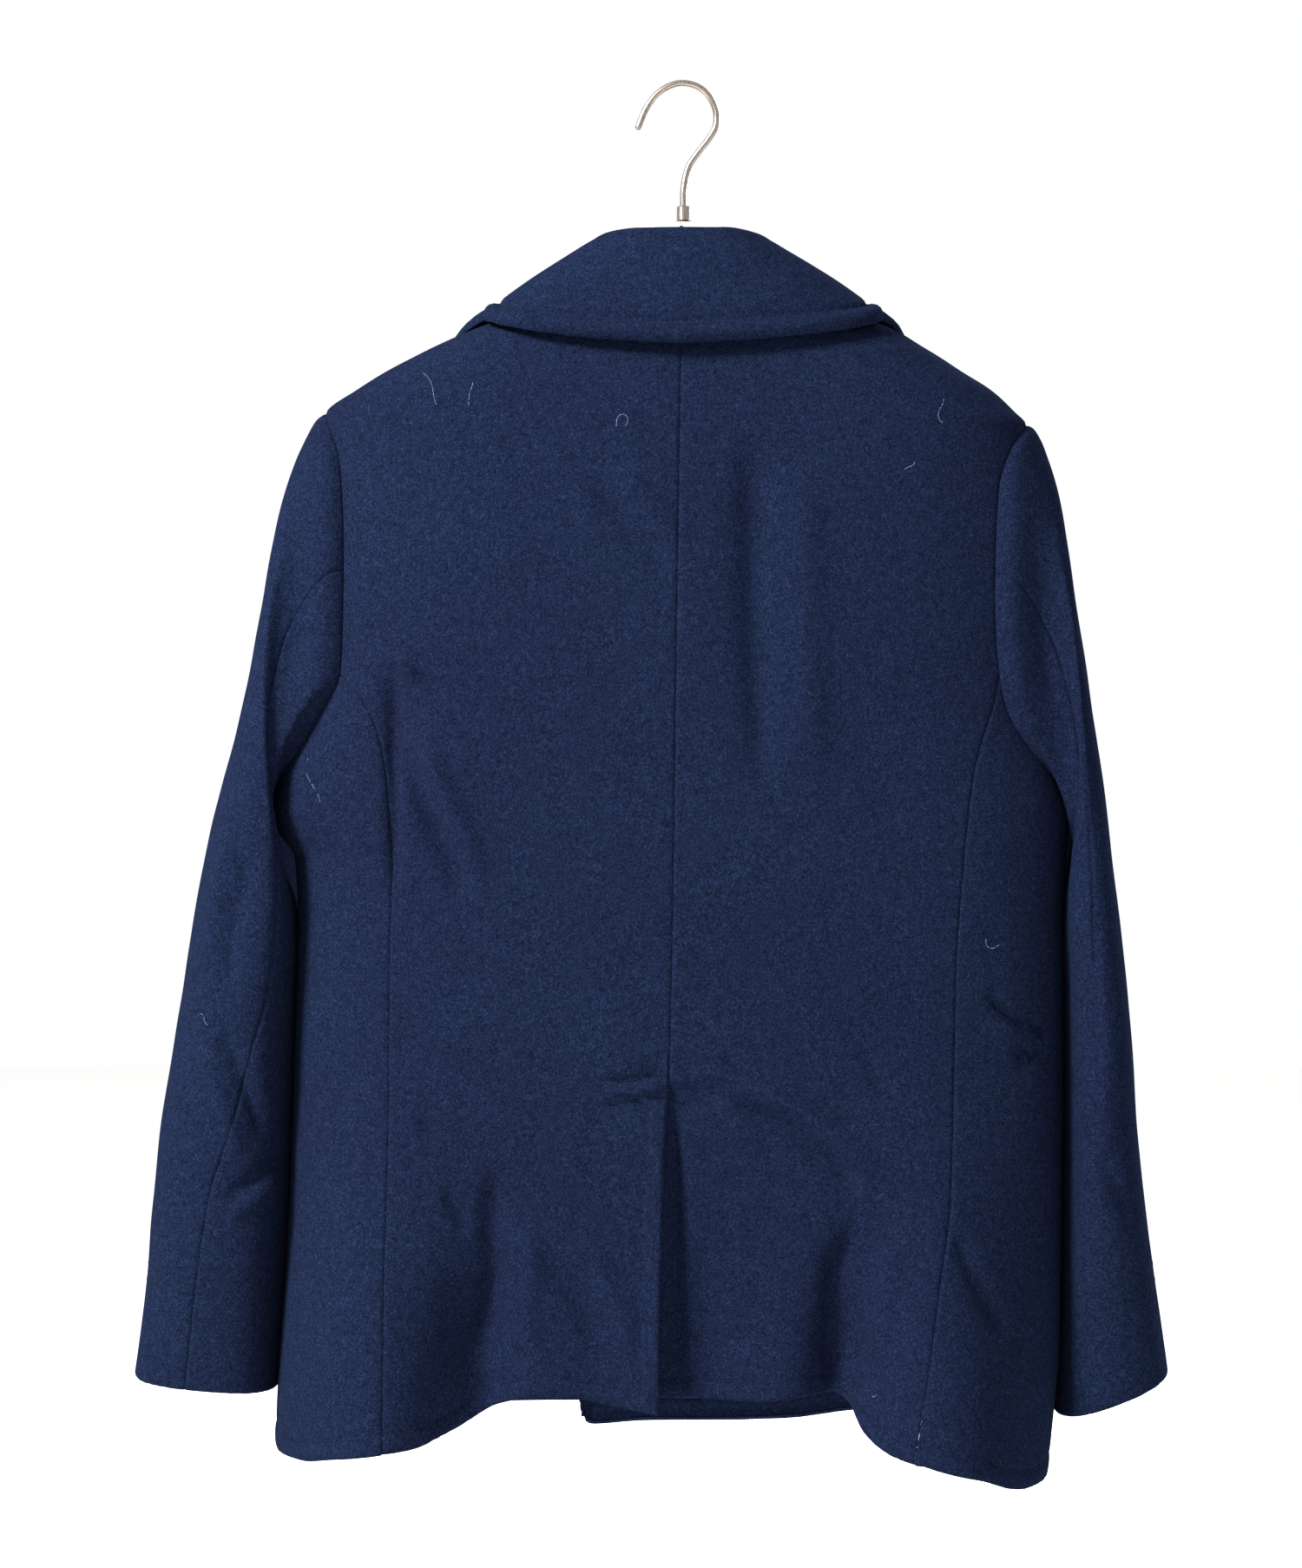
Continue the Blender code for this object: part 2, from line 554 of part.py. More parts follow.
def add_object(name, data, material):
    piece = bpy.data.objects.new(name, data)
    data.materials.append(material)
    coat.objects.link(piece)
    return piece


def body_grid(side, domain):
    points = [[body_point(side, turn, drop) for turn, drop in row] for row in domain]
    normals = [[body_normal(side, turn, drop) for turn, drop in row] for row in domain]
    return points, normals


# ---- the sleeves ----------------------------------------------------------------------------------
def armhole_loop(side):
    """Armhole points from the shoulder tip down the back to the armpit and up the front."""
    back_upper, back_under = armhole_line(side, front=False)
    front_upper, front_under = armhole_line(side, front=True)
    return back_upper + back_under[1:] + front_under[-2::-1] + front_upper[-2:0:-1]


def loop_angles(points, armpit):
    """The angle of each armhole point round the sleeve, by its share of the seam's length."""
    steps = [(b - a).length for a, b in zip(points, points[1:] + points[:1])]
    back, front = sum(steps[:armpit]), sum(steps[armpit:])
    angles, run = [], 0.0
    for k in range(len(points)):
        if k <= armpit:
            angles.append(math.pi * run / back)
        else:
            angles.append(math.pi + math.pi * (run - back) / front)
        run += steps[k]
    return angles


def sleeve_rings(side):
    """Points of every ring, column by column, from the armhole to the cuff."""
    loop = [body_point(side, turn, drop) for turn, drop in armhole_loop(side)]
    armpit = len(ARMHOLE_SHARES) + len(UNDERARM_SHARES) - 2
    front_seam = armpit + len(UNDERARM_SHARES) - 1
    count = len(loop)
    start_angles = loop_angles(loop, armpit)
    front_angle = start_angles[front_seam] - 2.0 * math.pi
    rings, first = [], None
    table = SLEEVE[side]
    for r, ring in enumerate(table):
        outer = Vector((ring.x_out, ring.y_mid, -ring.drop_out))
        inner = Vector((ring.x_in, ring.y_mid, -ring.drop_in))
        middle, reach = (outer + inner) / 2.0, (outer - inner) / 2.0
        hang = HAND_BACK[side] * smooth((r - HAND_BACK_START) / (len(table) - 1 - HAND_BACK_START))
        depth = Vector((0.0, -ring.half_depth, -hang))
        even = smooth(r / SPREAD_REACH)
        seam = math.radians(ring.seam_turn)
        points = []
        for k in range(count):
            if k <= SLEEVE_SEAM or k >= front_seam:
                passed = k - front_seam + (count if k <= SLEEVE_SEAM else 0)
                along = passed / (count - front_seam + SLEEVE_SEAM)
                target = front_angle + (seam - front_angle) * along
            else:
                along = (k - SLEEVE_SEAM) / (front_seam - SLEEVE_SEAM)
                target = seam + (front_angle + 2.0 * math.pi - seam) * along
            base = start_angles[k] - (2.0 * math.pi if k >= front_seam else 0.0)
            angle = base + (target - base) * even
            c, d = math.cos(angle), math.sin(angle)
            point = middle + reach * c + depth * d * (1.0 + SLEEVE_SQUARE * c * c)
            beside = bump(math.degrees(angle) - VALLEY_TURN, VALLEY_TURNS)
            point.y += VALLEY_DEPTH * bump(r - VALLEY_RING, VALLEY_RINGS) * beside
            points.append(point)
        if r == 0:
            first = [a - b for a, b in zip(loop, points)]
        fade = 1.0 - smooth(r / ARMHOLE_REACH)
        rings.append([point + shift * fade for point, shift in zip(points, first)])
    return rings, front_seam


def ring_normals(rings):
    """Outward normals of the whole sleeve, before it is cut into its two pieces."""
    normals = []
    count = len(rings[0])
    for r, ring in enumerate(rings):
        above, below = rings[max(0, r - 1)], rings[min(len(rings) - 1, r + 1)]
        line = []
        for k in range(count):
            across = ring[(k + 1) % count] - ring[k - 1]
            along = below[k] - above[k]
            line.append(across.cross(along).normalized())
        normals.append(line)
    return normals


def outward(rings, normals):
    """Turn the normals away from the sleeve's inside if they point into it."""
    half = len(rings) // 2
    middle = sum(rings[half], Vector()) / len(rings[half])
    if (rings[half][0] - middle).dot(normals[half][0]) < 0.0:
        return [[-normal for normal in line] for line in normals]
    return normals


def mitre(along, on_body, on_sleeve, to_body, to_sleeve):
    """The normal that two pieces share at their seam, also where they fold back on each other."""
    body_way = along.cross(on_body).normalized()
    if body_way.dot(to_body) < 0.0:
        body_way = -body_way
    sleeve_way = (to_sleeve - along * to_sleeve.dot(along)).normalized()
    hollow = sleeve_way.dot(on_body)
    return (on_body + on_sleeve + (body_way + sleeve_way) * max(0.0, hollow)).normalized()


def build_sleeve(side, word, material):
    """Both pieces of one sleeve; returns the normals it shares with the body at the armhole."""
    rings, front_seam = sleeve_rings(side)
    normals = outward(rings, ring_normals(rings))
    shared = []
    count = len(rings[0])
    middle = sum(rings[0], Vector()) / count
    for k, (turn, drop) in enumerate(armhole_loop(side)):
        point = rings[0][k]
        along = (rings[0][(k + 1) % count] - rings[0][k - 1]).normalized()
        on_body, on_sleeve = body_normal(side, turn, drop), normals[0][k]
        both = mitre(along, on_body, on_sleeve, point - middle, rings[1][k] - point)
        normals[0][k] = both
        shared.append((point.copy(), both))
    top = [k % count for k in range(front_seam, count + SLEEVE_SEAM + 1)]
    under = list(range(SLEEVE_SEAM, front_seam + 1))
    for name, columns in (("top_sleeve_", top), ("under_sleeve_", under)):
        sheet = Sheet()
        sheet.add_grid([[ring[k] for k in columns] for ring in rings],
                       [[line[k] for k in columns] for line in normals])
        sheet.wall(name + word, SLEEVE_CLOTH, material)
    return shared


# ---- the body panels ------------------------------------------------------------------------------
def build_back(side, word, shared, material):
    """One back panel: neck, shoulder, armhole, side-back seam, hem and centre-back seam."""
    upper, _ = armhole_line(side, front=False)
    outer = shoulder_line(side) + upper[1:] + side_back_line(side)[1:]
    hem_at = track([(row.x, row.drop) for row in BACK_HEM[side]])
    high, neck_drop = len(outer) - len(LOW_ROWS), NECK_DROP[side]
    centre_hem = hem_at(CENTRE_X(HEM_SAMPLE_DROP))
    centre = []
    for i, (_, drop) in enumerate(outer):
        if i <= high:
            share = (drop - neck_drop) / (JOIN_DROP - neck_drop)
            centre_drop = BACK_NECK_DROP + (BACK_JOIN_DROP - BACK_NECK_DROP) * share
        elif i == high + VENT_ROW:
            centre_drop = VENT_TOP
        elif i == high + VENT_ROW + 1:
            centre_drop = VENT_TOP + VENT_STITCHING
        else:
            centre_drop = BACK_JOIN_DROP + (centre_hem - BACK_JOIN_DROP) * LOW_ROWS[i - high]
        centre.append((turn_at(side, CENTRE_X(centre_drop), centre_drop), centre_drop))

    def neck(share):
        return BACK_NECK_DROP + (neck_drop - BACK_NECK_DROP) * smooth(share)

    def hem(turn):
        return hem_at(body_point(side, turn, HEM_SAMPLE_DROP).x)

    top = []
    for j in range(BACK_COLUMNS + 1):
        share = j / BACK_COLUMNS
        top.append((centre[0][0] + (outer[0][0] - centre[0][0]) * share, neck(share)))
    bottom = blend_line(centre[-1], outer[-1], hem, BACK_COLUMNS)
    sheet = Sheet()
    points, normals = body_grid(side, coons(top, bottom, centre, outer))
    sheet.add_grid(points, normals)
    if side == RIGHT:
        under = []
        for turn, drop in centre[high + VENT_ROW + 1:]:
            line = []
            for j in range(UNDERLAP_COLUMNS):
                x = CENTRE_X(drop) - VENT_UNDERLAP * (1.0 - j / UNDERLAP_COLUMNS)
                line.append((turn_at(side, x, drop), drop))
            under.append(line + [(turn, drop)])
        under_points, under_normals = body_grid(side, under)
        sheet.add_grid(under_points, under_normals)
    sheet.set_normals(shared)
    sheet.wall("back_" + word, CLOTH, material)


def roll_line(side):
    """The line where the lapel turns back, from the neck point to the break."""
    neck = NECK_DROP[side]
    start_x = side * WIDTH[side](neck)
    end_x = FRONT_EDGE[side]
    rows = len(ARMHOLE_SHARES)
    line = [(0.0, neck)]
    for i in range(1, rows):
        share = i / (rows - 1)
        drop = neck + (BREAK_DROP - neck) * share
        x = start_x + (end_x - start_x) * share ** ROLL_BEND
        line.append((turn_at(side, x, drop, front=True), drop))
    return line


def build_front(side, word, shared, material):
    """One front: it runs from its edge round the side to the side-back seam, with no side seam."""
    upper, under = armhole_line(side, front=True)
    _, back_under = armhole_line(side, front=False)
    seam = side_back_line(side)
    roll = roll_line(side)
    last = front_hem_drop(side, math.radians(95))
    edge = []
    for share in LOW_ROWS:
        drop = BREAK_DROP + (last - BREAK_DROP) * share
        edge.append((turn_at(side, FRONT_EDGE[side], drop, front=True), drop))
    chest_bottom = []
    for j in range(SHOULDER_STEPS + 1):
        u = j / SHOULDER_STEPS
        turn = upper[-1][0] + (roll[-1][0] - upper[-1][0]) * u
        chest_bottom.append((turn, upper[-1][1] + (roll[-1][1] - upper[-1][1]) * smooth(u)))
    chest_bottom[-1] = roll[-1]
    chest_top = list(reversed(shoulder_line(side)))
    sheet = Sheet()
    points, normals = body_grid(side, coons(chest_top, chest_bottom, upper, roll))
    sheet.add_grid(points, normals)
    edge[0] = roll[-1]
    top = back_under + under[-2::-1] + chest_bottom[1:]
    bottom = []
    for j in range(len(top)):
        turn = seam[-1][0] + (edge[-1][0] - seam[-1][0]) * hem_share(top, j)
        bottom.append((turn, front_hem_drop(side, turn)))
    bottom[0], bottom[-1] = seam[-1], edge[-1]
    points, normals = body_grid(side, coons(top, bottom, seam, edge, fade=LOWER_FADE))
    sheet.add_grid(points, normals)
    sheet.set_normals(shared)
    sheet.wall("front_" + word, CLOTH, material)


def hem_share(top, j):
    """Spread the hem's columns as the turns of the top line, eased towards even spacing."""
    even = j / (len(top) - 1)
    turned = (top[j][0] - top[0][0]) / (top[-1][0] - top[0][0])
    return EVEN_SHARE * even + (1.0 - EVEN_SHARE) * turned


# ---- collar and lapels ----------------------------------------------------------------------------
def collar_stations():
    """Half of the collar's rows, from the centre back to the front end."""
    keys = [i / (len(COLLAR) - 1) for i in range(len(COLLAR))]
    columns = [track(list(zip(keys, values))) for values in zip(*COLLAR)]
    return [Station(*[column(i / COLLAR_HALF_ROWS) for column in columns])
            for i in range(COLLAR_HALF_ROWS + 1)]


def collar_section(row, side):
    """Points from the neck seam up the stand, over the roll and down the fall to its edge."""
    neck = Vector((side * row.neck_x, row.neck_y, -row.neck_drop))
    roll = Vector((side * row.roll_x, row.roll_y, -row.roll_drop))
    turn = math.radians(row.edge_turn)
    edge = body_point(side, turn, row.edge_drop) + body_normal(side, turn, row.edge_drop) * row.lift
    lean = math.radians(row.lean)
    up = Vector((0.0, math.sin(lean), math.cos(lean)))
    level = edge - neck
    level = (level - up * level.dot(up)).normalized()
    aside = level.cross(up)
    centre = roll - up * ROLL_RADIUS

    def tangent_angle(point, turn_sign):
        """Where a straight leg from the point meets the roll, as an angle from level."""
        gap = point - centre
        reach = max(ROLL_RADIUS * 1.02, math.hypot(gap.dot(level), gap.dot(up)))
        angle = math.atan2(gap.dot(up), gap.dot(level)) % (2.0 * math.pi)
        if turn_sign > 0 and angle > math.pi:
            angle -= 2.0 * math.pi
        return angle + turn_sign * math.acos(ROLL_RADIUS / reach)

    start, end = tangent_angle(neck, -1), tangent_angle(edge, 1)
    points = [neck]
    arc = []
    for i in range(ROLL_STEPS + 1):
        angle = start + (end - start) * i / ROLL_STEPS
        arc.append(centre + (level * math.cos(angle) + up * math.sin(angle)) * ROLL_RADIUS)
    points.append(neck.lerp(arc[0], 0.5))
    points += arc
    run = edge - arc[-1]
    out = run.cross(aside).normalized()
    if out.dot(level + up) < 0.0:
        out = -out
    for share in FALL_SHARES:
        swell = out * run.length * FALL_SWELL * math.sin(math.pi * share ** 0.8)
        points.append(arc[-1] + run * share + swell)
    points.append(edge)
    return points


def grid_normals(points):
    """Normals of a loft's grid of points."""
    normals = []
    rows, columns = len(points), len(points[0])
    for i in range(rows):
        line = []
        for j in range(columns):
            across = points[i][min(columns - 1, j + 1)] - points[i][max(0, j - 1)]
            down = points[min(rows - 1, i + 1)][j] - points[max(0, i - 1)][j]
            line.append(down.cross(across).normalized())
        normals.append(line)
    return normals


def build_collar(material):
    rows = collar_stations()
    points = [collar_section(row, LEFT) for row in reversed(rows)]
    points += [collar_section(row, RIGHT) for row in rows[1:]]
    normals = grid_normals(points)
    if normals[len(points) // 2][ROLL_STEPS].z < 0.0:
        normals = [[-normal for normal in line] for line in normals]
    sheet = Sheet()
    sheet.add_grid(points, normals)
    sheet.wall("collar", COLLAR_CLOTH, material)


def build_lapel(side, word, material):
    """The turned-back facing: from the roll line out to the lapel's edge, lying on the front."""
    neck, end = NECK_DROP[side], LAPEL_END[side]
    end_x = FRONT_EDGE[side]
    start_x = side * WIDTH[side](neck)
    out_x = track([(row.share, row.out_x) for row in LAPEL])
    out_drop = track([(row.share, row.out_drop) for row in LAPEL])
    points = []
    for i in range(LAPEL_STEPS + 1):
        share = i / LAPEL_STEPS
        roll_share = GORGE_SHARE + (end.inner - GORGE_SHARE) * share
        drop = neck + (BREAK_DROP - neck) * roll_share
        x = start_x + (end_x - start_x) * roll_share ** ROLL_BEND
        far_x, far_drop = side * out_x(end.outer * share), out_drop(end.outer * share)
        line = []
        for column in LAPEL_COLUMNS:
            at_x = x + (far_x - x) * column.across
            at_drop = drop + (far_drop - drop) * column.across
            turn = turn_at(side, at_x, at_drop, front=True)
            normal = body_normal(side, turn, at_drop)
            line.append(body_point(side, turn, at_drop) + normal * column.lift)
        points.append(line)
    normals = grid_normals(points)
    if normals[LAPEL_STEPS // 2][len(LAPEL_COLUMNS) // 2].y < 0.0:
        normals = [[-normal for normal in line] for line in normals]
    sheet = Sheet()
    sheet.add_grid(points, normals)
    sheet.wall("lapel_" + word, LAPEL_CLOTH, material)


# ---- buttons and hanger ---------------------------------------------------------------------------
def turned_piece(name, profile, steps, material, closed):
    """Turn a profile of (radius, height) points round the Z axis."""
    count = len(profile)
    edges = [(i, (i + 1) % count) for i in range(count if closed else count - 1)]
    mesh = bpy.data.meshes.new(name)
    mesh.from_pydata([(radius, 0.0, height) for radius, height in profile], edges, [])
    piece = add_object(name, mesh, material)
    turned = piece.modifiers.new("turned", "SCREW")
    turned.angle = 2.0 * math.pi
    turned.steps = steps
    turned.render_steps = steps
    turned.use_merge_vertices = True
    turned.merge_threshold = MERGE_DISTANCE
    return piece


def build_button(name, x, drop, material):
    """A plain turned button with a raised rim, lying on the left front."""
    radius, rim = BUTTON_RADIUS, BUTTON_THICK
    profile = [(0.0, rim * 0.72), (radius * 0.62, rim * 0.72), (radius * 0.78, rim),
               (radius * 0.92, rim), (radius, rim * 0.62), (radius, rim * 0.30),
               (radius * 0.9, 0.0), (0.0, 0.0)]
    piece = turned_piece(name, profile, BUTTON_STEPS, material, closed=False)
    turn = turn_at(LEFT, x, drop, front=True)
    normal = body_normal(LEFT, turn, drop)
    piece.location = body_point(LEFT, turn, drop) + normal * BUTTON_GAP
    piece.rotation_euler = Vector((0.0, 0.0, 1.0)).rotation_difference(normal).to_euler()


def smooth_path(points, steps):
    """A Catmull-Rom curve through the points."""
    out = []
    for i in range(len(points) - 1):
        before, after = points[max(0, i - 1)], points[min(len(points) - 1, i + 2)]
        a, b = points[i], points[i + 1]
        for k in range(steps):
            t = k / steps
            out.append(0.5 * ((2 * a) + (b - before) * t + (2 * before - 5 * a + 4 * b - after) * t * t
                              + (3 * a - before - 3 * b + after) * t ** 3))
    out.append(points[-1])
    return out


def build_hook(material):
    curve = bpy.data.curves.new("hanger_hook", "CURVE")
    curve.dimensions = "3D"
    path = smooth_path([Vector((x, 0.0, -drop)) for x, drop in HOOK], HOOK_STEPS)
    spline = curve.splines.new("POLY")
    spline.points.add(len(path) - 1)
    for point, place in zip(spline.points, path):
        point.co = (place.x, place.y, place.z, 1.0)
    curve.bevel_depth = HOOK_WIRE / 2.0
    curve.bevel_resolution = 3
    curve.use_fill_caps = True
    add_object("hanger_hook", curve, material)


def build_ferrule(material):
    """The turned sleeve that the hook's shank passes into, with a bore for the wire."""
    bore = HOOK_WIRE / 2.0 + FERRULE_BORE_GAP
    edge, foot = FERRULE_EDGE, FERRULE_FOOT
    profile = [(bore, -FERRULE_TOP), (FERRULE_RADIUS - edge, -FERRULE_TOP),
               (FERRULE_RADIUS, -FERRULE_TOP - edge), (FERRULE_RADIUS, -FERRULE_BASE + edge),
               (FERRULE_RADIUS + foot, -FERRULE_BASE), (bore, -FERRULE_BASE)]
    piece = turned_piece("hanger_ferrule", profile, FERRULE_STEPS, material, closed=True)
    piece.location.x = HOOK[0][0]


def build_arms(material):
    """The moulded arms: rounded sections from one end over the middle to the other."""
    rows = [(-row.x, row) for row in reversed(ARMS)] + [(row.x, row) for row in ARMS[1:]]
    shell = bmesh.new()
    loops = []
    for x, row in rows:
        loop = []
        for k in range(ARM_SIDES):
            angle = 2.0 * math.pi * k / ARM_SIDES
            c, s = math.cos(angle), math.sin(angle)
            y = math.copysign(abs(c) ** ARM_SQUARE_Y, c) * row.depth / 2.0
            z = math.copysign(abs(s) ** ARM_SQUARE_Z, s) * row.height / 2.0
            loop.append(shell.verts.new((x, y, -row.top - row.height / 2.0 + z)))
        loops.append(loop)
    for a, b in zip(loops, loops[1:]):
        for k in range(ARM_SIDES):
            n = (k + 1) % ARM_SIDES
            shell.faces.new((a[k], b[k], b[n], a[n]))
    shell.faces.new(loops[0])
    shell.faces.new(list(reversed(loops[-1])))
    finish_mesh(shell, "hanger_arms", material)


def make_material(name, colour, roughness, metallic=0.0):
    """A Principled material from an sRGB colour."""
    material = bpy.data.materials.new(name)
    material.use_nodes = True
    shader = material.node_tree.nodes["Principled BSDF"]
    shares = [value / 255 for value in colour]
    linear = [v / 12.92 if v <= 0.04045 else ((v + 0.055) / 1.055) ** 2.4 for v in shares]
    shader.inputs["Base Color"].default_value = (*linear, 1.0)
    shader.inputs["Roughness"].default_value = roughness
    shader.inputs["Metallic"].default_value = metallic
    return material


# ---- the model ------------------------------------------------------------------------------------
for leftover in list(bpy.data.objects):
    bpy.data.objects.remove(leftover, do_unlink=True)
coat = bpy.data.collections.new("pea_coat")
bpy.context.scene.collection.children.link(coat)

melton = make_material("navy melton", (33, 46, 72), 0.95)
button_resin = make_material("dark resin", (20, 22, 28), 0.35)
nickel = make_material("brushed nickel", (196, 186, 176), 0.30, 1.0)
grey_plastic = make_material("pale grey plastic", (178, 178, 176), 0.45)

for side, word in ((LEFT, "left"), (RIGHT, "right")):
    seam_normals = build_sleeve(side, word, melton)
    build_back(side, word, seam_normals, melton)
    build_front(side, word, seam_normals, melton)
    build_lapel(side, word, melton)
build_collar(melton)

number = 0
for button_drop in BUTTON_DROPS:
    for button_x in BUTTON_X:
        number += 1
        build_button("button_%d" % number, button_x, button_drop, button_resin)

build_hook(nickel)
build_ferrule(nickel)
build_arms(grey_plastic)
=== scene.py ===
import math
from collections import namedtuple

import bmesh
import bpy
import numpy as np
from mathutils import Matrix, Vector, kdtree, noise


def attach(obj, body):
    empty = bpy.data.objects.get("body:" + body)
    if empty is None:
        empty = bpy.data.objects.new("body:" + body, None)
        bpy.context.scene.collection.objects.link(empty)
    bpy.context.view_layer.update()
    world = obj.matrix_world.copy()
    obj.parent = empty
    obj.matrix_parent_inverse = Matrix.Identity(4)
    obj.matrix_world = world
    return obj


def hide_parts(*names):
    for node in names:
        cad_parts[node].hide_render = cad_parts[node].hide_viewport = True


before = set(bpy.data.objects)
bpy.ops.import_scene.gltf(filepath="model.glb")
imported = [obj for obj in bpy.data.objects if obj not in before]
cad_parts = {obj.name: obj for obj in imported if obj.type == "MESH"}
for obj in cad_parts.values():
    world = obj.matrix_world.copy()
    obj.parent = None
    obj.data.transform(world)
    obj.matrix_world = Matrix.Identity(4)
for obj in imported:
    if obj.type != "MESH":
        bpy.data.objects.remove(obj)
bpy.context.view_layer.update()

# ==== The studio ====================================================================================
# A pale painted floor below the coat, an evenly bright room, and two large softboxes. The camera
# stands level behind the coat, at the height of its middle.
CAMERA_PLACE = (-0.0201, -2.4, -0.462)
CAMERA_LENS, SENSOR_WIDTH = 83.2, 36.0
COAT_MIDDLE = (0.0, 0.0, -0.45)
FLOOR_DROP, FLOOR_REACH = 1.35, 9
ROOM_LIGHT = 1.0
Softbox = namedtuple("Softbox", "name place size power")
SOFTBOXES = [Softbox("softbox_left", (-2.1, -1.75, 1.5), 0.8, 470.0),
             Softbox("softbox_front", (1.6, 2.3, 0.8), 1.4, 170.0)]


def linear(code):
    """An sRGB hex colour as linear red, green and blue, with full alpha."""
    shares = [int(code[i:i + 2], 16) / 255 for i in (1, 3, 5)]
    return [v / 12.92 if v <= 0.04045 else ((v + 0.055) / 1.055) ** 2.4 for v in shares] + [1.0]


def add_node(tree, kind, inputs=None, **settings):
    """Add one node, with its settings, and with values or links on its inputs."""
    node = tree.nodes.new(kind)
    for name, value in settings.items():
        setattr(node, name, value)
    for name, value in (inputs or {}).items():
        if isinstance(value, bpy.types.NodeSocket):
            tree.links.new(value, node.inputs[name])
        else:
            node.inputs[name].default_value = value
    return node


def new_material(name):
    """A material with a bare Principled shader, and its tree."""
    material = bpy.data.materials.new(name)
    material.use_nodes = True
    return material, material.node_tree, material.node_tree.nodes["Principled BSDF"]


def add_object(name, data):
    piece = bpy.data.objects.new(name, data)
    bpy.context.scene.collection.objects.link(piece)
    return piece


view = bpy.data.cameras.new("camera")
view.lens = CAMERA_LENS
view.sensor_width = SENSOR_WIDTH
view.sensor_fit = "AUTO"
camera = add_object("camera", view)
camera.location = CAMERA_PLACE
camera.rotation_euler = (math.pi / 2, 0.0, 0.0)
bpy.context.scene.camera = camera
bpy.context.scene.view_settings.view_transform = "Standard"

room = bpy.data.worlds.new("bright room")
bpy.context.scene.world = room
room.use_nodes = True
room.node_tree.nodes["Background"].inputs["Color"].default_value = linear("#ffffff")
room.node_tree.nodes["Background"].inputs["Strength"].default_value = ROOM_LIGHT
for softbox in SOFTBOXES:
    light = bpy.data.lights.new(softbox.name, "AREA")
    light.shape = "RECTANGLE"
    light.size = light.size_y = softbox.size
    light.energy = softbox.power
    stand = add_object(softbox.name, light)
    stand.location = softbox.place
    aim = Vector(COAT_MIDDLE) - Vector(softbox.place)
    stand.rotation_euler = aim.to_track_quat("-Z", "Y").to_euler()

paint, tree, shader = new_material("pale floor paint")
mottle = add_node(tree, "ShaderNodeTexNoise", {"Scale": 3.0, "Detail": 4.0})
tone = add_node(tree, "ShaderNodeValToRGB", {"Fac": mottle.outputs["Fac"]})
tone.color_ramp.elements[0].color = linear("#f1f1f0")
tone.color_ramp.elements[1].color = linear("#fbfbfa")
tree.links.new(tone.outputs["Color"], shader.inputs["Base Color"])
shader.inputs["Roughness"].default_value = 0.8
floor_mesh = bpy.data.meshes.new("floor")
corners = [(x * FLOOR_REACH, y * FLOOR_REACH, -FLOOR_DROP) for x, y in ((-1, -1), (1, -1), (1, 1), (-1, 1))]
floor_mesh.from_pydata(corners, [], [(0, 1, 2, 3)])
floor = add_object("floor", floor_mesh)
floor_mesh.materials.append(paint)

# ==== The two back panels ===========================================================================
# Each is cut from 3 mm navy melton, joined at the centre-back seam, and hangs from the shoulders. Below
# the vent's top the left one laps over the right one's underlap. Seams are pressed open, edges turned.
CLOTH = 0.003
LEFT, RIGHT = -1, 1

# Metres, +Z up, from the inside top of the hook. The coat's back faces -Y and the wearer's right side is
# at +X. A drop is a depth below the hook's top. A turn goes round the body: -90 degrees at the centre
# back, 0 at the side and 90 at the centre front.
SQUARE_X, SQUARE_Y = 0.15, 0.35
SIDE_FADE = 0.6               # folds and laps die out towards the side over this much of the turn's sine
NECK_DROP = {LEFT: 0.1430, RIGHT: 0.1420}
TIP_DROP = {LEFT: 0.2176, RIGHT: 0.2257}
JOIN_DROP, ARMPIT_DROP = 0.3900, 0.4780
BACK_NECK_DROP, BACK_JOIN_DROP = 0.1500, 0.4000
BREAK_DROP = 0.3850
FRONT_LAP, LAP_FADE = 0.0024, 0.040
LAP_FROM = {LEFT: 0.130, RIGHT: 0.135}
VENT_TOP, VENT_STITCHING, VENT_ROW = 0.6500, 0.0105, 6
VENT_UNDERLAP, VENT_DEPTH = 0.0450, 0.0046
VENT_START, VENT_FADE = 0.010, 0.045
HEM_SAMPLE_DROP = 0.87

Width = namedtuple("Width", "drop left right")
WIDTHS = [
    Width(0.128, 0.050, 0.048), Width(0.143, 0.080, 0.0805), Width(0.166, 0.1426, 0.1440),
    Width(0.176, 0.1650, 0.1610), Width(0.190, 0.1920, 0.1835), Width(0.204, 0.2150, 0.2050),
    Width(0.2176, 0.2340, 0.2195), Width(0.2257, 0.2360, 0.2271), Width(0.260, 0.2385, 0.2300),
    Width(0.300, 0.2400, 0.2320), Width(0.350, 0.2420, 0.2340), Width(0.400, 0.2460, 0.2365),
    Width(0.430, 0.2545, 0.2420), Width(0.456, 0.2665, 0.2510), Width(0.478, 0.2715, 0.2555),
    Width(0.492, 0.2660, 0.2550), Width(0.510, 0.2545, 0.2535), Width(0.550, 0.2525, 0.2515),
    Width(0.660, 0.2550, 0.2513), Width(0.720, 0.2570, 0.2502), Width(0.776, 0.2600, 0.2496),
    Width(0.840, 0.2640, 0.2480), Width(0.890, 0.2665, 0.2435), Width(0.925, 0.2680, 0.2400),
]
Depth = namedtuple("Depth", "drop back front")
DEPTHS = [
    Depth(0.128, 0.040, 0.036), Depth(0.145, 0.047, 0.044), Depth(0.180, 0.056, 0.052),
    Depth(0.220, 0.062, 0.058), Depth(0.300, 0.069, 0.064), Depth(0.400, 0.073, 0.068),
    Depth(0.600, 0.072, 0.068), Depth(0.760, 0.073, 0.070), Depth(0.925, 0.077, 0.073),
]
SeamPoint = namedtuple("SeamPoint", "drop left right")
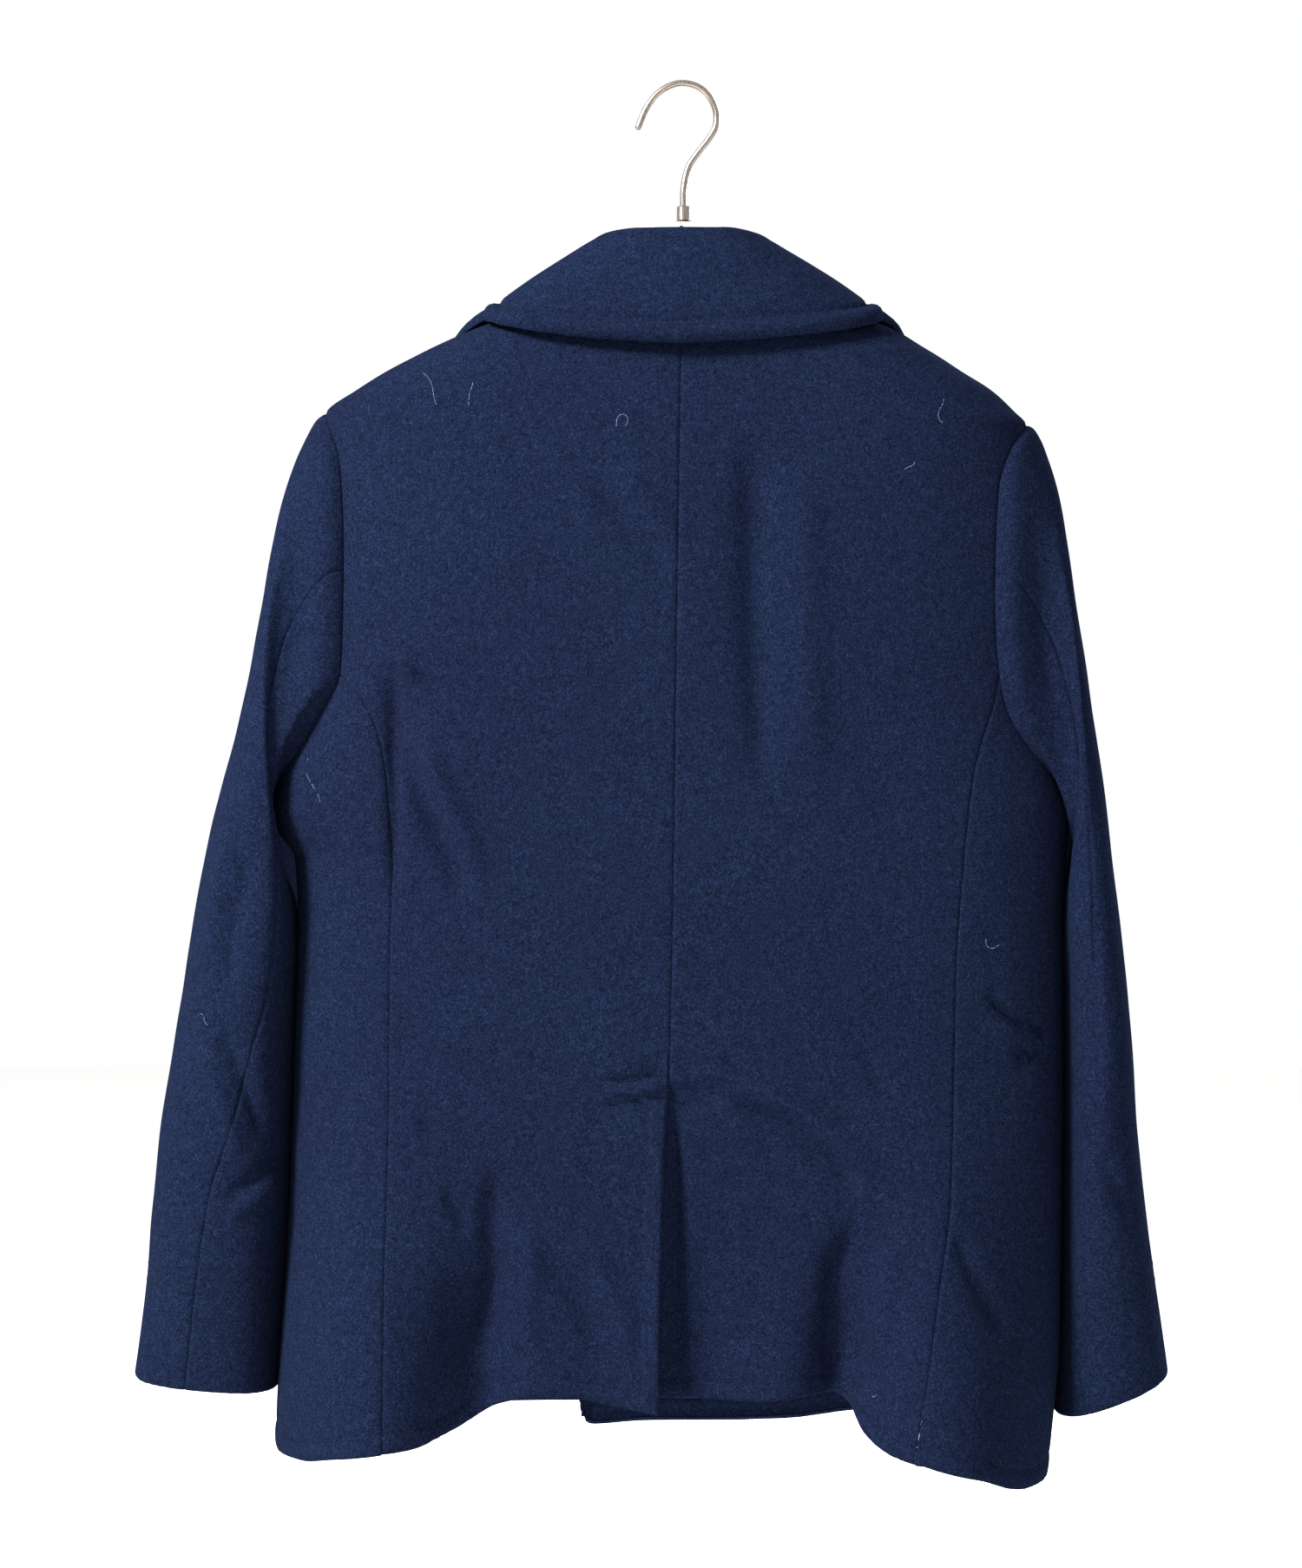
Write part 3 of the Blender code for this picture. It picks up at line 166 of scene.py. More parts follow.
ARMHOLE = [
    SeamPoint(0.2300, -0.2300, 0.2235), SeamPoint(0.2460, -0.2243, 0.2135),
    SeamPoint(0.2680, -0.2215, 0.2065), SeamPoint(0.2950, -0.2203, 0.2045),
    SeamPoint(0.3220, -0.2200, 0.2035), SeamPoint(0.3470, -0.2203, 0.2032),
    SeamPoint(0.3700, -0.2207, 0.2040), SeamPoint(0.3900, -0.2222, 0.2058),
    SeamPoint(0.4140, -0.2350, 0.2110), SeamPoint(0.4350, -0.2465, 0.2235),
    SeamPoint(0.4550, -0.2610, 0.2405), SeamPoint(0.4700, -0.2690, 0.2510),
]
SIDE_BACK = [
    SeamPoint(0.3900, -0.2222, 0.2058), SeamPoint(0.4114, -0.2045, 0.2010),
    SeamPoint(0.4345, -0.1952, 0.1933), SeamPoint(0.4637, -0.1904, 0.1868),
    SeamPoint(0.5219, -0.1874, 0.1808), SeamPoint(0.5795, -0.1886, 0.1768),
    SeamPoint(0.6500, -0.1891, 0.1750), SeamPoint(0.7287, -0.1901, 0.1722),
    SeamPoint(0.7877, -0.1913, 0.1640), SeamPoint(0.8414, -0.1913, 0.1566),
    SeamPoint(0.8950, -0.1913, 0.1480),
]
CENTRE_BACK = [
    (0.150, 0.0000), (0.237, -0.0016), (0.349, -0.0034), (0.516, -0.0056), (0.650, -0.0084),
    (0.717, -0.0117), (0.794, -0.0140), (0.880, -0.0152),
]
Hem = namedtuple("Hem", "x drop")
BACK_HEM = {
    LEFT: [Hem(-0.1910, 0.8893), Hem(-0.1700, 0.8872), Hem(-0.1560, 0.8828), Hem(-0.1440, 0.8780),
           Hem(-0.1378, 0.8745), Hem(-0.1181, 0.8626), Hem(-0.0931, 0.8564), Hem(-0.0727, 0.8573),
           Hem(-0.0458, 0.8619), Hem(-0.0150, 0.8676)],
    RIGHT: [Hem(-0.0600, 0.8562), Hem(0.0080, 0.8598), Hem(0.0439, 0.8609), Hem(0.0825, 0.8576),
            Hem(0.0962, 0.8566), Hem(0.1070, 0.8620), Hem(0.1169, 0.8795), Hem(0.1252, 0.8868),
            Hem(0.1370, 0.8927), Hem(0.1497, 0.8962)],
}
Fold = namedtuple("Fold", "side x_top x_low drop_top drop_low width push")
FOLDS = [
    Fold(LEFT, -0.118, -0.134, 0.700, 0.862, 0.026, 0.026),
    Fold(LEFT, -0.200, -0.205, 0.640, 0.895, 0.046, -0.030),
    Fold(LEFT, -0.060, -0.060, 0.700, 0.860, 0.030, 0.006),
    Fold(RIGHT, 0.122, 0.102, 0.700, 0.862, 0.024, 0.028),
    Fold(RIGHT, 0.160, 0.176, 0.620, 0.905, 0.044, -0.030),
    Fold(RIGHT, 0.030, 0.020, 0.652, 0.860, 0.050, 0.018),
    Fold(LEFT, -0.178, -0.186, 0.380, 0.480, 0.018, 0.005),
    Fold(RIGHT, 0.052, 0.056, 0.240, 0.420, 0.030, 0.004),
]
FOLD_RUN_ON = 1.3             # a fold keeps its lean past its low end, up to this share
CLOSED_FOLD_DROP = 0.600      # a fold that ends above this drop closes again
LEFT_FOLD_END, LEFT_FOLD_FADE = 0.012, 0.030
SHOULDER_STEPS, BACK_COLUMNS = 6, 9
ARMHOLE_SHARES = (0.0, 0.07, 0.17, 0.30, 0.45, 0.61, 0.75, 0.87, 1.0)
UNDERARM_SHARES = (0.0, 0.27, 0.52, 0.74, 0.90, 1.0)
LOW_ROWS = (0.0, 0.05, 0.11, 0.19, 0.29, 0.40, 0.5225, 0.545, 0.62, 0.70, 0.78, 0.86, 0.94, 1.0)

SEAM_RISE, SEAM_WIDTH = 0.0016, 0.0030      # how far the cloth rises beside a seam, and over what width
SETTLE_WIDTH = 0.030          # the cloth lies full beside an armhole and settles over this width
EDGE_ROUND, EDGE_DEPTH = 0.0024, 0.9        # radius of a turned edge, and how much of it drops away
SEAM_CLEAR = 0.009                          # creases stay this far from an armhole
STITCH_INSET, STITCH_DIP, STITCH_WIDTH = 0.0125, 0.0007, 0.0022
NEAR_EDGE = (0.02, 0.045, 0.075, 0.12, 0.17, 0.24, 0.31, 0.36, 0.40, 0.44, 0.49)

CREASE_TAPER, CREASE_END = 0.25, 0.15       # a crease's ends, as shares of its length and height
LONG_ACROSS, LONG_DOWN, SHORT_ACROSS, SHORT_DOWN, SHORT_SHARE = 17, 8, 48, 30, 0.45   # ripples a metre
TURN_FADE = 0.5               # creases die out where the cloth turns away, by its normal's share

Crease = namedtuple("Crease", "height width path")
BACK_CREASES = [              # a negative height is a valley; each path is (x, drop) down the back
    Crease(-0.0057, 0.0073, ((-0.1182, 0.7056), (-0.1216, 0.7324), (-0.1227, 0.7592), (-0.1193, 0.7725),
                             (-0.1260, 0.8060), (-0.1372, 0.8305))),
    Crease(0.0038, 0.0066, ((-0.0960, 0.7400), (-0.0975, 0.7800), (-0.0990, 0.8300))),
    Crease(-0.0057, 0.0066, ((0.1126, 0.7458), (0.0992, 0.7725), (0.0959, 0.8171), (0.0970, 0.8506))),
    Crease(0.0042, 0.0073, ((0.1400, 0.7500), (0.1300, 0.7900), (0.1270, 0.8400))),
    Crease(-0.0063, 0.0053, ((0.0301, 0.6655), (0.0702, 0.6833), (0.0970, 0.7056), (0.1193, 0.7257))),
    Crease(0.0051, 0.0053, ((0.0401, 0.6555), (0.0802, 0.6733), (0.1070, 0.6956), (0.1293, 0.7157))),
    Crease(-0.0029, 0.0040, ((0.0078, 0.6989), (0.0368, 0.6975), (0.0658, 0.6989))),
    Crease(-0.0034, 0.0046, ((0.0256, 0.7101), (0.0435, 0.7235))),
    Crease(0.0042, 0.0066, ((-0.0770, 0.7547), (-0.0547, 0.7681), (-0.0324, 0.8171), (-0.0279, 0.8283))),
    Crease(-0.0034, 0.0066, ((-0.0890, 0.7700), (-0.0690, 0.7900), (-0.0500, 0.8300))),
    Crease(-0.0057, 0.0040, ((0.1950, 0.5994), (0.2175, 0.6185), (0.2400, 0.6281))),
    Crease(0.0045, 0.0040, ((0.1980, 0.6110), (0.2175, 0.6270), (0.2366, 0.6300))),
    Crease(-0.0045, 0.0033, ((0.2141, 0.6390), (0.2250, 0.6365), (0.2366, 0.6348))),
    Crease(-0.0051, 0.0053, ((0.1741, 0.7508), (0.1950, 0.7931), (0.2107, 0.8184))),
    Crease(-0.0017, 0.0053, ((0.1048, 0.6148), (0.1338, 0.6666))),
    Crease(-0.0034, 0.0079, ((-0.0580, 0.2669), (-0.0346, 0.2959), (-0.0056, 0.3249))),
    Crease(0.0023, 0.0079, ((-0.0420, 0.2560), (-0.0190, 0.2860), (0.0000, 0.3080))),
    Crease(-0.0057, 0.0106, ((0.0468, 0.2300), (0.0468, 0.3594), (0.0524, 0.4725))),
    Crease(0.0034, 0.0106, ((0.0800, 0.2500), (0.0800, 0.3594), (0.0850, 0.4600))),
    Crease(-0.0053, 0.0050, ((-0.1859, 0.3800), (-0.1859, 0.4547), (-0.1848, 0.5361))),
    Crease(0.0038, 0.0046, ((-0.1809, 0.3771), (-0.1736, 0.3928))),
    Crease(-0.0029, 0.0046, ((-0.1675, 0.3928), (-0.1357, 0.4291))),
    Crease(-0.0051, 0.0059, ((-0.1798, 0.4408), (-0.1597, 0.4882), (-0.1390, 0.5335))),
    Crease(0.0040, 0.0066, ((-0.1690, 0.4308), (-0.1480, 0.4782), (-0.1260, 0.5235))),
    Crease(-0.0034, 0.0046, ((-0.1708, 0.6792), (-0.1574, 0.6903))),
    Crease(-0.0051, 0.0046, ((-0.1530, 0.7238), (-0.1373, 0.7506))),
    Crease(-0.0023, 0.0033, ((-0.0039, 0.6700), (0.0245, 0.6655))),
    Crease(-0.0006, 0.0030, ((-0.1706, 0.7725), (-0.1480, 0.7735), (-0.1260, 0.7725))),
    Crease(-0.0006, 0.0030, ((-0.2526, 0.7919), (-0.2312, 0.7919))),
    Crease(-0.0060, 0.0050, ((-0.0060, 0.6640), (-0.0035, 0.7260), (-0.0025, 0.8600))),
    Crease(0.0022, 0.0060, ((-0.0130, 0.6800), (-0.0150, 0.7600), (-0.0160, 0.8650))),
    Crease(-0.0034, 0.0030, ((-0.0040, 0.6480), (-0.0340, 0.6522), (-0.0620, 0.6572))),
    Crease(0.0030, 0.0040, ((-0.0090, 0.6556), (-0.0340, 0.6594), (-0.0560, 0.6630))),
    Crease(-0.0034, 0.0030, ((-0.0040, 0.6620), (-0.0340, 0.6662), (-0.0620, 0.6708))),
]


def smooth(value):
    """Ease from 0 to 1 between 0 and 1."""
    value = np.clip(value, 0.0, 1.0)
    return value * value * (3.0 - 2.0 * value)


def bump(distance, width):
    return np.exp(-(distance / width) ** 2)


def track(pairs):
    """A smooth curve through (key, value) pairs that never overshoots them."""
    keys, values = (np.array(column, dtype=float) for column in zip(*pairs))
    spans = np.diff(keys)
    rises = np.diff(values) / spans
    before, after = rises[:-1], rises[1:]
    level = before * after <= 0.0
    middle = np.where(level, 0.0, 2.0 * before * after / np.where(level, 1.0, before + after))
    slopes = np.concatenate((rises[:1], middle, rises[-1:]))

    def at(key):
        key = np.clip(key, keys[0], keys[-1])
        i = np.clip(np.searchsorted(keys, key, side="right") - 1, 0, len(spans) - 1)
        t = (key - keys[i]) / spans[i]
        bends = spans[i] * (slopes[i] * t * (1.0 - t) ** 2 + slopes[i + 1] * t * t * (t - 1.0))
        return values[i] + (values[i + 1] - values[i]) * t * t * (3.0 - 2.0 * t) + bends

    return at


WIDTH = {LEFT: track([(row.drop, row.left) for row in WIDTHS]),
         RIGHT: track([(row.drop, row.right) for row in WIDTHS])}
BACK_DEPTH = track([(row.drop, row.back) for row in DEPTHS])
FRONT_DEPTH = track([(row.drop, row.front) for row in DEPTHS])
CENTRE_X = track(CENTRE_BACK)


def seam_track(table, side, ends=()):
    pairs = [(row.drop, row.left if side == LEFT else row.right) for row in table]
    return track(sorted(pairs + [(drop, side * WIDTH[side](drop)) for drop in ends]))


ARMHOLE_X = {side: seam_track(ARMHOLE, side, (TIP_DROP[side], ARMPIT_DROP)) for side in (LEFT, RIGHT)}
SIDE_BACK_X = {side: seam_track(SIDE_BACK, side) for side in (LEFT, RIGHT)}


def fold_sum(side, x, drop):
    """How far one side's folds push a point inwards."""
    total = np.zeros(np.shape(x))
    for fold in FOLDS:
        if fold.side != side:
            continue
        share = (drop - fold.drop_top) / (fold.drop_low - fold.drop_top)
        middle = fold.x_top + (fold.x_low - fold.x_top) * np.clip(share, 0.0, FOLD_RUN_ON)
        closed = fold.drop_low < CLOSED_FOLD_DROP
        strength = np.sin(np.pi * np.clip(share, 0.0, 1.0)) if closed else smooth(share)
        total = total + fold.push * strength * bump(x - middle, fold.width)
    return total


def fold_push(side, x, drop):
    """The folds of a panel; the vent's underlap follows the left back, a step behind it."""
    total = fold_sum(side, x, drop)
    if side == RIGHT:
        total = total + fold_sum(LEFT, x, drop) * smooth((LEFT_FOLD_END - x) / LEFT_FOLD_FADE)
        vent = smooth((drop - VENT_TOP) / VENT_START)
        total = total + VENT_DEPTH * vent * smooth((VENT_FADE - x) / VENT_FADE)
    return total


def lap_step(side, x):
    """The left front lies over the right one."""
    if side == LEFT:
        return FRONT_LAP * smooth((x + LAP_FROM[LEFT]) / LAP_FADE)
    return -FRONT_LAP * smooth((LAP_FROM[RIGHT] - x) / LAP_FADE)


def body_point(side, turn, drop):
    """Points on the outside of the cloth."""
    turn, drop = np.broadcast_arrays(np.asarray(turn, dtype=float), np.asarray(drop, dtype=float))
    c, s = np.cos(turn), np.sin(turn)
    x = side * WIDTH[side](drop) * c * (1.0 + SQUARE_X * s * s)
    depth = np.where(turn < 0.0, BACK_DEPTH(drop), FRONT_DEPTH(drop))
    pushed = fold_push(side, x, drop) * smooth(-s / SIDE_FADE)
    lapped = lap_step(side, x) * smooth(s / SIDE_FADE)
    y = depth * s * (1.0 + SQUARE_Y * c * c) + np.where(turn < 0.0, pushed, lapped)
    return np.stack((x, y, -drop), axis=-1)


def unit(vectors):
    return vectors / np.maximum(np.linalg.norm(vectors, axis=-1, keepdims=True), 1e-12)


def body_normal(side, turn, drop):
    step_turn, step_drop = 0.012, 0.0015
    across = body_point(side, turn + step_turn, drop) - body_point(side, turn - step_turn, drop)
    down = body_point(side, turn, drop + step_drop) - body_point(side, turn, drop - step_drop)
    return unit(np.cross(down, across) * side)


def turn_at(side, x, drop, front=False):
    """The turn whose point lies at x at this drop."""
    ratio = side * x / WIDTH[side](drop)
    low, high = np.full(np.shape(ratio), -1.0), np.full(np.shape(ratio), 1.0)
    for _ in range(40):
        c = (low + high) / 2.0
        below = c * (1.0 + SQUARE_X * (1.0 - c * c)) < ratio
        low, high = np.where(below, c, low), np.where(below, high, c)
    turn = np.arccos(np.clip((low + high) / 2.0, -1.0, 1.0))
    return turn if front else -turn


def armhole_turn(side, drop, front=False):
    ends = (np.abs(drop - TIP_DROP[side]) < 1e-7) | (np.abs(drop - ARMPIT_DROP) < 1e-7)
    return np.where(ends, 0.0, turn_at(side, ARMHOLE_X[side](drop), drop, front))


def in_steps(values, index):
    """Read a list at places between its entries."""
    return np.interp(index, np.arange(len(values)), values)


def fine(count, steps, low=True, high=True, extra=()):
    """Places along a count of section steps: even ones, with more near the ends that are edges."""
    places = [np.linspace(0, count, count * steps + 1), np.array(extra)]
    if low:
        places.append(np.array(NEAR_EDGE))
    if high:
        places.append(count - np.array(NEAR_EDGE))
    return np.unique(np.round(np.concatenate(places), 5))


def coons(top, bottom, left, right, u, v, fade=1):
    """Fill a four-sided patch in (turn, drop): rows run down, columns run across."""
    u = 1.0 - (1.0 - u[None, :, None]) ** fade
    v = v[:, None, None]
    top, bottom, left, right = top[None], bottom[None], left[:, None], right[:, None]
    ruled_across = (1 - u) * left + u * right
    ruled_down = (1 - v) * top + v * bottom
    corners = ((1 - v) * ((1 - u) * top[:, :1] + u * top[:, -1:])
               + v * ((1 - u) * bottom[:, :1] + u * bottom[:, -1:]))
    return ruled_across + ruled_down - corners


def pair(turn, drop):
    return np.stack(np.broadcast_arrays(turn, drop), axis=-1)


BACK_HEM_DROP = {side: track([(row.x, row.drop) for row in BACK_HEM[side]]) for side in (LEFT, RIGHT)}


def hem_drop_at_seam(side):
    return BACK_HEM[LEFT][0].drop if side == LEFT else BACK_HEM[RIGHT][-1].drop


def run_of(path):
    """How far along a path each of its points lies."""
    return np.concatenate(([0.0], np.cumsum(np.linalg.norm(np.diff(path, axis=0), axis=1))))


def trimmed(path, start=0.0, end=0.0, spacing=0.002):
    """Evenly spaced points along a path, without a stretch at each end."""
    run = run_of(path)
    places = np.linspace(start, run[-1] - end, max(2, int((run[-1] - start - end) / spacing)))
    return np.stack([np.interp(places, run, path[:, axis]) for axis in range(3)], axis=-1)


def search_tree(points):
    """A tree that finds the nearest of some points."""
    tree = kdtree.KDTree(len(points))
    for i, point in enumerate(points):
        tree.insert(point, i)
    tree.balance()
    return tree


def distance_to(points, paths):
    """How far each point lies from the nearest of the paths."""
    if not paths:
        return np.full(points.shape[:-1], 1.0)
    tree = search_tree(np.concatenate([trimmed(path, spacing=0.0006) for path in paths]))
    flat = points.reshape(-1, 3)
    return np.array([tree.find(point)[2] for point in flat]).reshape(points.shape[:-1])


def crease_height(points, creases):
    """The sum of the creases at the (x, drop) of each point."""
    place = np.stack((points[..., 0], -points[..., 2]), axis=-1)
    total = np.zeros(points.shape[:-1])
    for crease in creases:
        path = np.array(crease.path)
        spans, run = np.linalg.norm(np.diff(path, axis=0), axis=1), run_of(path)
        nearest, along = np.full(total.shape, 9.0), np.zeros(total.shape)
        for i, span in enumerate(spans):
            way = (path[i + 1] - path[i]) / span
            t = np.clip((place - path[i]) @ way, 0.0, span)
            gap = np.linalg.norm(place - path[i] - t[..., None] * way, axis=-1)
            closer = gap < nearest
            nearest = np.where(closer, gap, nearest)
            along = np.where(closer, (run[i] + t) / run[-1], along)
        starting, ending = along / CREASE_TAPER, (1.0 - along) / CREASE_TAPER
        taper = smooth(starting + CREASE_END) * smooth(ending + CREASE_END)
        total += crease.height * taper * bump(nearest, crease.width)
    return total


def drape(points, seed, reach=0.0007):
    """Soft unevenness of hanging wool: long down the cloth, short across it."""
    flat = points.reshape(-1, 3)
    heights = []
    for x, y, z in flat:
        soft = noise.noise(Vector((x * LONG_ACROSS + seed, y * LONG_ACROSS, z * LONG_DOWN)))
        short = noise.noise(Vector((x * SHORT_ACROSS, y * SHORT_ACROSS + seed, z * SHORT_DOWN)))
        heights.append(soft + SHORT_SHARE * short)
    return np.array(heights).reshape(points.shape[:-1]) * reach


def dress(points, normals, seams, edges, height=0.0, calm=(), stitched=True,
          inset=STITCH_INSET, radius=EDGE_ROUND, puff=0.0004, dip=STITCH_DIP, settled=0.0):
    """Raise a panel above its seams, press in its creases, and round and stitch its open edges.

    Creases die out towards the calm seams, where two pieces meet at an angle. Where the panel is settled,
    the cloth lies lower again beyond them.
    """
    seam = distance_to(points, seams)
    angle_seam = distance_to(points, calm)
    lift = SEAM_RISE * np.sqrt(1.0 - np.clip(1.0 - seam / SEAM_WIDTH, 0.0, 1.0) ** 2)
    lift = lift - SEAM_RISE * settled * smooth(angle_seam / SETTLE_WIDTH)
    lift = lift + height * (1.0 - bump(angle_seam, SEAM_CLEAR))
    if edges:
        edge = distance_to(points, edges)
        inside = np.clip(1.0 - edge / radius, 0.0, 1.0)
        lift = lift - radius * (1.0 - np.sqrt(1.0 - inside ** 2)) * EDGE_DEPTH
        if stitched:
            lift = lift - dip * bump(edge - inset, STITCH_WIDTH)
            lift = lift + puff * bump(edge - inset / 2, inset / 3)
    return points + normals * lift[..., None]


def sheet_mesh(name, grids):
    """Join grids of points into one sheet whose faces point the way of their normals."""
    points, faces, start = [], [], 0
    for grid, normals in grids:
        rows, columns = grid.shape[:2]
        ids = start + np.arange(rows * columns).reshape(rows, columns)
        quads = np.stack((ids[:-1, :-1], ids[1:, :-1], ids[1:, 1:], ids[:-1, 1:]), axis=-1).reshape(-1, 4)
        facing = np.cross(grid[1:, :-1] - grid[:-1, :-1], grid[:-1, 1:] - grid[:-1, :-1])
        if np.sum(facing * normals[:-1, :-1]) < 0.0:
            quads = quads[:, ::-1]
        points += grid.reshape(-1, 3).tolist()
        faces += quads.tolist()
        start += rows * columns
    mesh = bpy.data.meshes.new(name)
    mesh.from_pydata(points, [], faces)
    shell = bmesh.new()
    shell.from_mesh(mesh)
    bmesh.ops.remove_doubles(shell, verts=shell.verts, dist=0.00002)
    shell.to_mesh(mesh)
    shell.free()
    return mesh


def applied(piece, sharp=50.0):
    """Turn the piece's modifiers into plain mesh."""
    bpy.context.view_layer.update()
    graph = bpy.context.evaluated_depsgraph_get()
    mesh = bpy.data.meshes.new_from_object(piece.evaluated_get(graph))
    piece.modifiers.clear()
    piece.data = mesh
    mesh.shade_smooth()
    mesh.set_sharp_from_angle(angle=math.radians(sharp))
    return piece


def cloth_piece(name, grids, thickness, material):
    """One cloth piece: the sheet with its thickness behind it."""
    piece = add_object(name, sheet_mesh(name, grids))
    wall = piece.modifiers.new("thickness", "SOLIDIFY")
    wall.thickness = thickness
    wall.offset = -1.0
    wall.use_even_offset = False
    wall.use_rim = True
    applied(piece)
    piece.data.materials.clear()
    piece.data.materials.append(material)
    return piece


# Melton is a heavy wool cloth, fulled and brushed until its weave disappears under a short felted nap.
# The eye sees a deep matt navy with a fine mottle, and a faint bloom where the nap catches the light.
NAP_MM, CLUMP_MM, CLOUD_MM = 1.3, 4.5, 130.0        # the nap drawn coarser than it is, so that it shows
CLUMP_SHARE, DEEP_END, MID_PLACE, FLECK_START = 0.18, 0.37, 0.55, 0.70
CLOUD_START, CLOUD_END = 0.38, 0.66


def make_melton(name, deep, mid, fleck, bloom):
    material, tree, shader = new_material(name)
    place = add_node(tree, "ShaderNodeTexCoord").outputs["Object"]
    nap = add_node(tree, "ShaderNodeTexNoise",
                   {"Vector": place, "Scale": 1000 / NAP_MM, "Detail": 4.0, "Roughness": 0.65})
    clump = add_node(tree, "ShaderNodeTexNoise",
                     {"Vector": place, "Scale": 1000 / CLUMP_MM, "Detail": 3.0, "Roughness": 0.6})
    # A large soft noise for a faint purple cast in patches: painted light, a cast of the light laid into the
    # wool's colour.
    painted_light_cloud = add_node(tree, "ShaderNodeTexNoise",
                     {"Vector": place, "Scale": 1000 / CLOUD_MM, "Detail": 2.0, "Roughness": 0.5})
    both = add_node(tree, "ShaderNodeMix", {"Factor": CLUMP_SHARE, "A": nap.outputs["Fac"],
                                            "B": clump.outputs["Fac"]}, data_type="FLOAT")
    tone = add_node(tree, "ShaderNodeValToRGB", {"Fac": both.outputs["Result"]})
    tone.color_ramp.elements[0].position = DEEP_END
    tone.color_ramp.elements[0].color = linear(deep)
    tone.color_ramp.elements[1].position = MID_PLACE
    tone.color_ramp.elements[1].color = linear(mid)
    tone.color_ramp.elements.new(FLECK_START).color = linear(fleck)
    # White to faint purple, multiplied into the navy: the painted purple cast of the light.
    shade = add_node(tree, "ShaderNodeValToRGB", {"Fac": painted_light_cloud.outputs["Fac"]})
    shade.color_ramp.elements[0].position = CLOUD_START
    shade.color_ramp.elements[0].color = linear("#ffffff")
    shade.color_ramp.elements[1].position = CLOUD_END
    shade.color_ramp.elements[1].color = linear("#fdf3f9")
    tint = add_node(tree, "ShaderNodeMix", {0: 1.0, 6: tone.outputs["Color"], 7: shade.outputs["Color"]},
                    data_type="RGBA", blend_type="MULTIPLY")
    tree.links.new(tint.outputs[2], shader.inputs["Base Color"])
    felt = add_node(tree, "ShaderNodeBump", {"Strength": 0.5, "Distance": 0.0012,
                                             "Height": clump.outputs["Fac"]})
    hairs = add_node(tree, "ShaderNodeBump", {"Strength": 0.55, "Distance": 0.0005,
                                              "Height": nap.outputs["Fac"],
                                              "Normal": felt.outputs["Normal"]})
    tree.links.new(hairs.outputs["Normal"], shader.inputs["Normal"])
    shader.inputs["Roughness"].default_value = 0.92
    shader.inputs["Specular IOR Level"].default_value = 0.0
    shader.inputs["Sheen Weight"].default_value = 0.02
    shader.inputs["Sheen Roughness"].default_value = 0.45
    shader.inputs["Sheen Tint"].default_value = linear(bloom)
    return material


melton = make_melton("brushed navy melton", "#070a14", "#0f1628", "#1a2439", "#7d8cb4")


def back_rows():
    """Row places from the neck to the hem, by the steps of the outer line."""
    return fine(SHOULDER_STEPS + len(ARMHOLE_SHARES) - 1 + len(LOW_ROWS) - 1, 6)


def outer_line(side, rows):
    """The back's outer line: shoulder seam, armhole, then the side-back seam down to the hem."""
    neck, tip, hem = NECK_DROP[side], TIP_DROP[side], hem_drop_at_seam(side)
    shoulder = neck + (tip - neck) * np.arange(SHOULDER_STEPS + 1) / SHOULDER_STEPS
    arm = tip + (JOIN_DROP - tip) * np.array(ARMHOLE_SHARES)
    low = JOIN_DROP + (hem - JOIN_DROP) * np.array(LOW_ROWS)
    drops = np.concatenate((shoulder, arm[1:], low[1:]))
    drop = in_steps(drops, rows)
    high = SHOULDER_STEPS + len(ARMHOLE_SHARES) - 1
    on_arm = armhole_turn(side, np.clip(drop, tip, JOIN_DROP))
    on_side = turn_at(side, SIDE_BACK_X[side](drop), drop)
    turn = np.where(rows <= SHOULDER_STEPS, 0.0, np.where(rows <= high, on_arm, on_side))
    return pair(turn, drop), drops, high


def centre_line(side, rows, drops, high):
    """The centre-back seam, and the vent's edge below it."""
    hem = BACK_HEM_DROP[side](CENTRE_X(HEM_SAMPLE_DROP))
    share = (drops[:high + 1] - drops[0]) / (JOIN_DROP - drops[0])
    upper = BACK_NECK_DROP + (BACK_JOIN_DROP - BACK_NECK_DROP) * share
    lower = BACK_JOIN_DROP + (hem - BACK_JOIN_DROP) * np.array(LOW_ROWS[1:])
    centre = np.concatenate((upper, lower))
    centre[high + VENT_ROW] = VENT_TOP
    centre[high + VENT_ROW + 1] = VENT_TOP + VENT_STITCHING
    drop = in_steps(centre, rows)
    return pair(turn_at(side, CENTRE_X(drop), drop), drop)


def back_weight(normals):
    """Creases of the back fade out where the cloth turns to the front."""
    return smooth(-normals[..., 1] / TURN_FADE)


